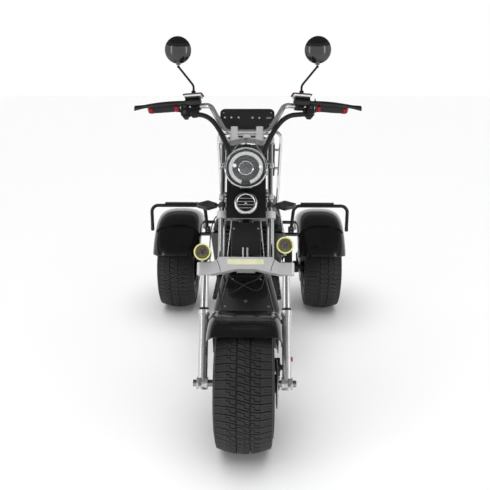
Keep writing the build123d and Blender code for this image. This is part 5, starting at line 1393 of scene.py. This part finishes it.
def stitches(skin, path, way, long=0.0042, gap=0.0022):
    """Short threads lying on a skin along a path, each a small six-sided bead."""
    shape = bmesh.new()
    points = [Vector(point) for point in path]
    for start, end in zip(points, points[1:]):
        count = int((end - start).length / (long + gap))
        for index in range(count):
            at = start.lerp(end, (index + 0.5) / count)
            place, normal = skin.ray_cast(at, Vector(way))[:2]
            if place:
                forward = (end - start).normalized()
                forward = (forward - normal * forward.dot(normal)).normalized()
                turn = Matrix((forward, normal.cross(forward), normal)).transposed().to_4x4()
                bead = bmesh.new()
                bmesh.ops.create_icosphere(bead, subdivisions=1, radius=1)
                size = Matrix.Diagonal((long / 2, 0.0006, 0.0005, 1))
                bmesh.ops.transform(bead, matrix=Matrix.Translation(place) @ turn @ size, verts=bead.verts)
                join(shape, bead)
    return shape


def channel(off, width=0.0055):
    """How deep a sewn channel is at a distance from its middle, as a share."""
    return 2.718 ** -((off / width) ** 2)


vinyl = leathered("saddle_vinyl", 0.012, 0.46)
thread = powder_coat("saddle_thread", (0.020, 0.020, 0.021), 0.7)
cushion_low, cushion_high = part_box("seat_cushion")
saddle = blown_pad("seat_cushion", 0.005, 0.005, 4, 0.012)
channels = [cushion_low.y + share * (cushion_high.y - cushion_low.y) for share in (0.24, 0.43, 0.62)]
shoulder_up = cushion_low.z + (cushion_high.z - cushion_low.z) * 0.55
for vert in saddle.verts:
    x, y, z = vert.co
    if z > shoulder_up:
        for line in channels:
            bow = line + 0.03 * (1 - (x / 0.12) ** 2)
            vert.co.z -= 0.0065 * channel(y - bow) * min(1, max(0, (0.125 - abs(x)) / 0.02))
    vert.co.z = max(vert.co.z, cushion_low.z)
    vert.co.z -= 0.016 * max(0, 1 - ((y - (cushion_low.y + 0.20)) / 0.17) ** 2) * (z > shoulder_up)
saddle_tree = BVHTree.FromBMesh(saddle)
cushion = make_piece("saddle_cover", saddle, vinyl, "seat", ["seat_cushion"], 60, False)
rows = bmesh.new()
for line in channels:
    for offset in (-0.0095, 0.0095):
        path = []
        for step in range(13):
            x = -0.105 + 0.21 * step / 12
            path.append((x, line + offset + 0.03 * (1 - (x / 0.12) ** 2), 0.9))
        join(rows, stitches(saddle_tree, path, (0, 0, -1)))
make_piece("saddle_stitches", rows, thread, "seat", ())


def welt_round(skin, outline, centre, radius, step=0.004):
    """A thin piped welt round a pad: points on an outline pushed inwards onto the skin."""
    points = []
    for start, end in zip(outline, outline[1:] + outline[:1]):
        start, end = Vector(start), Vector(end)
        count = max(2, int((end - start).length / step))
        for index in range(count):
            at = start.lerp(end, index / count)
            place, normal = skin.ray_cast(at, (Vector(centre(at)) - at).normalized())[:2]
            if place:
                points.append(place + normal * radius * 0.3)
    for turn in range(3):
        before, after = [points[-1]] + points[:-1], points[1:] + [points[0]]
        points = [(a + b * 2 + c) / 4 for a, b, c in zip(before, points, after)]
    return swept(points + [points[0], points[1]], lambda index: radius, 8)


fore_y, back_y, outside = cushion_low.y - 0.05, cushion_high.y + 0.05, 0.25
corners = ((-outside, fore_y), (outside, fore_y), (outside, back_y), (-outside, back_y))
outline = [(x, y, shoulder_up) for x, y in corners]


def towards_spine(at):
    """The point of the saddle's spine that a point round it faces."""
    reach = min(max(at.y, cushion_low.y + 0.14), cushion_high.y - 0.14)
    return (0, reach, shoulder_up)


piping = welt_round(saddle_tree, outline, towards_spine, 0.0028)
make_piece("saddle_welt", piping, vinyl, "seat", ())

# Rear axle: a black steel tube with the hub motor's round housing in its middle, carried
# by two arms, a pair of coil springs over dampers and a brake caliper beside each wheel.
dress("rear_axle_housing", satin_black, "frame", 0.0014)
dress("swingarm", satin_black, "frame", 0.0014)
dress("rear_calipers", satin_black, "frame", 0.0024, segments=3)
rear_hub = sum(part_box("rear_tyre_left"), Vector()) / 2
motor_bolts, motor_fins, springs, dampers = shapes(4)
motor_radius, motor_half = 0.078, 0.070
for side in (-1, 1):
    for turn in range(8):
        way = Vector((0, cos(turn * pi / 4), sin(turn * pi / 4)))
        at = Vector((side * motor_half, rear_hub.y, rear_hub.z)) + way * (motor_radius - 0.010)
        join(motor_bolts, button_head(0.004, 0.003), facing(at, (side, 0, 0)))
along_axle = Matrix.Translation((0, rear_hub.y, rear_hub.z)) @ Matrix.Rotation(pi / 2, 4, "Y")
for fin in range(9):
    at = -0.052 + fin * 0.013
    root, crest = motor_radius - 0.003, motor_radius + 0.004
    outline = [(root, at - 0.002), (crest, at - 0.0014), (crest, at + 0.0014), (root, at + 0.002)]
    join(motor_fins, turned(outline, 72, closed=True), along_axle)
shock_x, eye_half, spring_radius, wire, spring_turns = 0.176, 0.012, 0.0215, 0.0036, 7
cross_y, cross_z = rear_hub.y - 0.160, 0.470
lug_y, lug_z = rear_hub.y - 0.052, rear_hub.z + 0.066
for side in (-1, 1):
    low, top = Vector((side * shock_x, lug_y, lug_z)), Vector((side * shock_x, cross_y, cross_z))
    way, reach = (top - low).normalized(), (top - low).length
    for at, hole, wall in ((low, 0.0052, 0.0058), (top, 0.0102, 0.0058)):
        edge, outer = hole + wall - 0.001, hole + wall
        ring = [(hole, -eye_half), (edge, -eye_half), (outer, -eye_half + 0.001)]
        ring += [(outer, eye_half - 0.001), (edge, eye_half), (hole, eye_half)]
        join(dampers, turned(ring, 32, closed=True), facing(at, (1, 0, 0)))
    join(dampers, rod(low + way * 0.012, low + way * reach * 0.52, 0.0150, 32, 0.0012))
    join(dampers, rod(low + way * reach * 0.5, top - way * 0.016, 0.0062, 20))
    for share in (0.0, 1.0):
        start = low + way * (0.016 + share * (reach - 0.042))
        join(dampers, rod(start, start + way * 0.0042, spring_radius + wire, 36, 0.001))
    coil_from, coil_long = 0.0205 + wire, reach - 0.0465 - wire * 2
    coil = bmesh.new()
    turn = Matrix.Translation((spring_radius, 0, 0)) @ Matrix.Rotation(pi / 2, 4, "X")
    bmesh.ops.create_circle(coil, cap_ends=True, segments=10, radius=wire, matrix=turn)
    steps = spring_turns * 20
    bmesh.ops.spin(
        coil, geom=list(coil.verts) + list(coil.edges) + list(coil.faces), cent=(0, 0, 0), axis=(0, 0, 1),
        angle=spring_turns * 2 * pi, steps=steps, dvec=(0, 0, coil_long / steps),
    )
    join(springs, coil, facing(low + way * coil_from, way))
make_pieces(
    "frame",
    ("motor_bolts", motor_bolts, zinc_steel, "steel"),
    ("motor_fins", motor_fins, satin_black, "satin_black"),
    ("shock_springs", springs, chrome, "chrome", "rear_shocks"),
    ("shock_dampers", dampers, satin_black, "satin_black"),
)

# Rear fenders: broad crowned guards in gloss black, their lower outer corners in front cut
# off. Over each runs a black tube hoop on a foot, with a flat strip screwed to it.
fender_in, fender_out, fender_radius, fender_side, fender_rise = 0.262, 0.518, 0.338, 0.252, 0.080
fender_wall, fender_ahead, fender_behind, fender_bend = 0.004, 63, 60, 2.7
guards = bmesh.new()
for side in (-1, 1):
    guard = bmesh.new()
    outline = []
    for wall in (0, fender_wall):
        half = (fender_out - fender_in) / 2 - wall
        arch = []
        for a in range(0, 181, 5):
            across, up = cos(radians(a)), sin(radians(a))
            bend = (abs(across) ** fender_bend + up ** fender_bend) ** (-1 / fender_bend)
            out = fender_radius - fender_rise + (fender_rise - wall) * up * bend
            arch.append((half * across * bend, out))
        arch = [(half, fender_side)] + arch + [(-half, fender_side)]
        outline += reversed(arch) if wall else arch
    middle = side * (fender_in + fender_out) / 2
    section = drawn_section(guard, [guard.verts.new((middle + side * x, 0, r)) for x, r in outline])
    back_turn, span = Matrix.Rotation(-radians(fender_behind), 3, "X"), radians(fender_ahead + fender_behind)
    bmesh.ops.rotate(guard, verts=guard.verts, cent=(0, 0, 0), matrix=back_turn)
    bmesh.ops.spin(guard, geom=section, cent=(0, 0, 0), axis=(1, 0, 0), angle=span, steps=60)
    bmesh.ops.recalc_face_normals(guard, faces=guard.faces)
    lead, rise = sin(radians(fender_ahead)), cos(radians(fender_ahead))
    front, down = Vector((0, -lead, rise)) * 0.300, Vector((0, -rise, -lead))
    corner = Vector((side * (fender_out - 0.030), 0, 0)) + front
    cut = (Vector((side, 0, 0)) * 0.55 + down).normalized()
    bmesh.ops.bisect_plane(
        guard, geom=list(guard.verts) + list(guard.edges) + list(guard.faces), dist=0.00001,
        plane_co=corner, plane_no=cut, clear_outer=True,
    )
    bmesh.ops.holes_fill(guard, edges=[e for e in guard.edges if e.is_boundary])
    join(guards, soften(guard, 0.0015, 40), Matrix.Translation((0, rear_hub.y, rear_hub.z)))
make_piece("rear_guards", guards, fender_black, "frame", ["rear_fenders"])
dress("fender_hoops", satin_black, "frame", 0.0006)
dress("rack_pads", textured, "frame", 0.002)
pad_low, pad_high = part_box("rack_pads")
hoop_low, hoop_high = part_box("fender_hoops")
rack_screws, hoop_caps, hoop_feet = shapes(3)
pad_in, pad_long, hole_share, foot_x = 0.276, 0.177, 0.8, 0.2255
hoop_cap = [(0, -0.0045), (0.0072, -0.0040), (0.0096, -0.0022), (0.0096, 0.014), (0.0088, 0.015)]
cap_up = hoop_low.z if hoop_low.z > 0.485 else 0.492
hoop_y = (pad_low.y + pad_high.y) / 2
for side in (-1, 1):
    for way in (-1, 1):
        x = side * (pad_in + pad_long / 2 * (1 + way * hole_share))
        join(rack_screws, button_head(0.0050, 0.0022), facing((x, hoop_y, pad_high.z), (0, 0, 1)))
    outer = side * (hoop_high.x - 0.009)
    join(hoop_caps, turned(hoop_cap, 28), Matrix.Translation((outer, hoop_y, cap_up)))
    low, high = (side * foot_x - 0.0145, hoop_y - 0.0135, 0.4805), (side * foot_x + 0.0145, hoop_y + 0.0135, 0.512)
    join(hoop_feet, block(low, high, 0.003))
    for up in (0.488, 0.505):
        spot = facing((side * foot_x, hoop_y - 0.0135, up), (0, -1, 0))
        join(rack_screws, button_head(0.0036, 0.0024), spot)
make_pieces(
    "frame",
    ("rack_screws", rack_screws, zinc_steel, "steel"),
    ("hoop_caps", hoop_caps, grip_rubber, "rubber"),
    ("hoop_feet", hoop_feet, satin_black, "satin_black"),
)

# Backrest: a chromed hoop behind the seat, with a vinyl pad on its cross bars, blown up
# by its foam and sewn in two upright channels with a stitched row beside each.
dress("sissy_bar", bar_chrome, "frame", 0.0005)
back_low, back_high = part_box("backrest")
pad = blown_pad("backrest", 0.005, 0.005, 4, 0.012)
pad_middle = (back_low + back_high) / 2
for vert in pad.verts:
    for across in (-0.05, 0.05):
        face = max(0.0, min(1.0, (0.078 - abs(vert.co.z - pad_middle.z)) / 0.02))
        if vert.co.y < pad_middle.y + (vert.co.z - pad_middle.z) * 0.13:
            vert.co.y += 0.006 * channel(vert.co.x - across) * face
pad_tree = BVHTree.FromBMesh(pad)
rest_pad = make_piece("backrest_cover", pad, vinyl, "frame", ["backrest"], 60, False)
pad_rows = bmesh.new()
for across in (-0.05, 0.05):
    for offset in (-0.0095, 0.0095):
        path = [(across + offset, back_low.y - 0.2, up) for up in (back_low.z + 0.03, back_high.z - 0.03)]
        join(pad_rows, stitches(pad_tree, path, (0, 1, 0)))
make_piece("backrest_stitches", pad_rows, thread, "frame", ())

# Tail: a black moulded lamp with a red lens on the last cross tube, over a bent steel
# holder with a blank white plate.
lamp_back, plate_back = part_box("rear_lamps")[1].y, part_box("plate_bracket")[1].y
red_lens = mottled(
    "red_lens", "cells", 300, (0.2, (0.40, 0.006, 0.008)), (0.8, (0.20, 0.003, 0.004)),
    relief=(0.4, 0.0006), Roughness=0.14, Coat_Weight=1.0,
)
dress("rear_lamps", moulded_black, "frame", 0.003, 32, 3)
tail_half, tail_low, tail_high = 0.062, 0.482, 0.530
low = (-tail_half + 0.005, lamp_back - 0.004, tail_low + 0.005)
tail_lens = block(low, (tail_half - 0.005, lamp_back + 0.004, tail_high - 0.005), 0.0036, 3)
make_piece("tail_lens", tail_lens, red_lens, "frame", ())
dress("plate_bracket", satin_black, "frame", 0.0007)
plate_white = mottled(
    "plate_white", "noise", 20, (0.3, (0.62, 0.62, 0.60)), (0.7, (0.74, 0.74, 0.73)), 5, Roughness=0.35,
)
plate_screws = bmesh.new()
plate_half, plate_up = 0.096, 0.366
low, high = (-plate_half, plate_back + 0.0001, plate_up), (plate_half, plate_back + 0.0013, plate_up + 0.080)
blank = block(low, high, 0.0005, 1)
for side in (-1, 1):
    join(plate_screws, button_head(0.0046, 0.0026), facing((side * 0.070, plate_back + 0.0001, 0.455), (0, 1, 0)))
make_piece("blank_plate", blank, plate_white, "frame", ())
make_piece("plate_screws", plate_screws, zinc_steel, "frame", ())
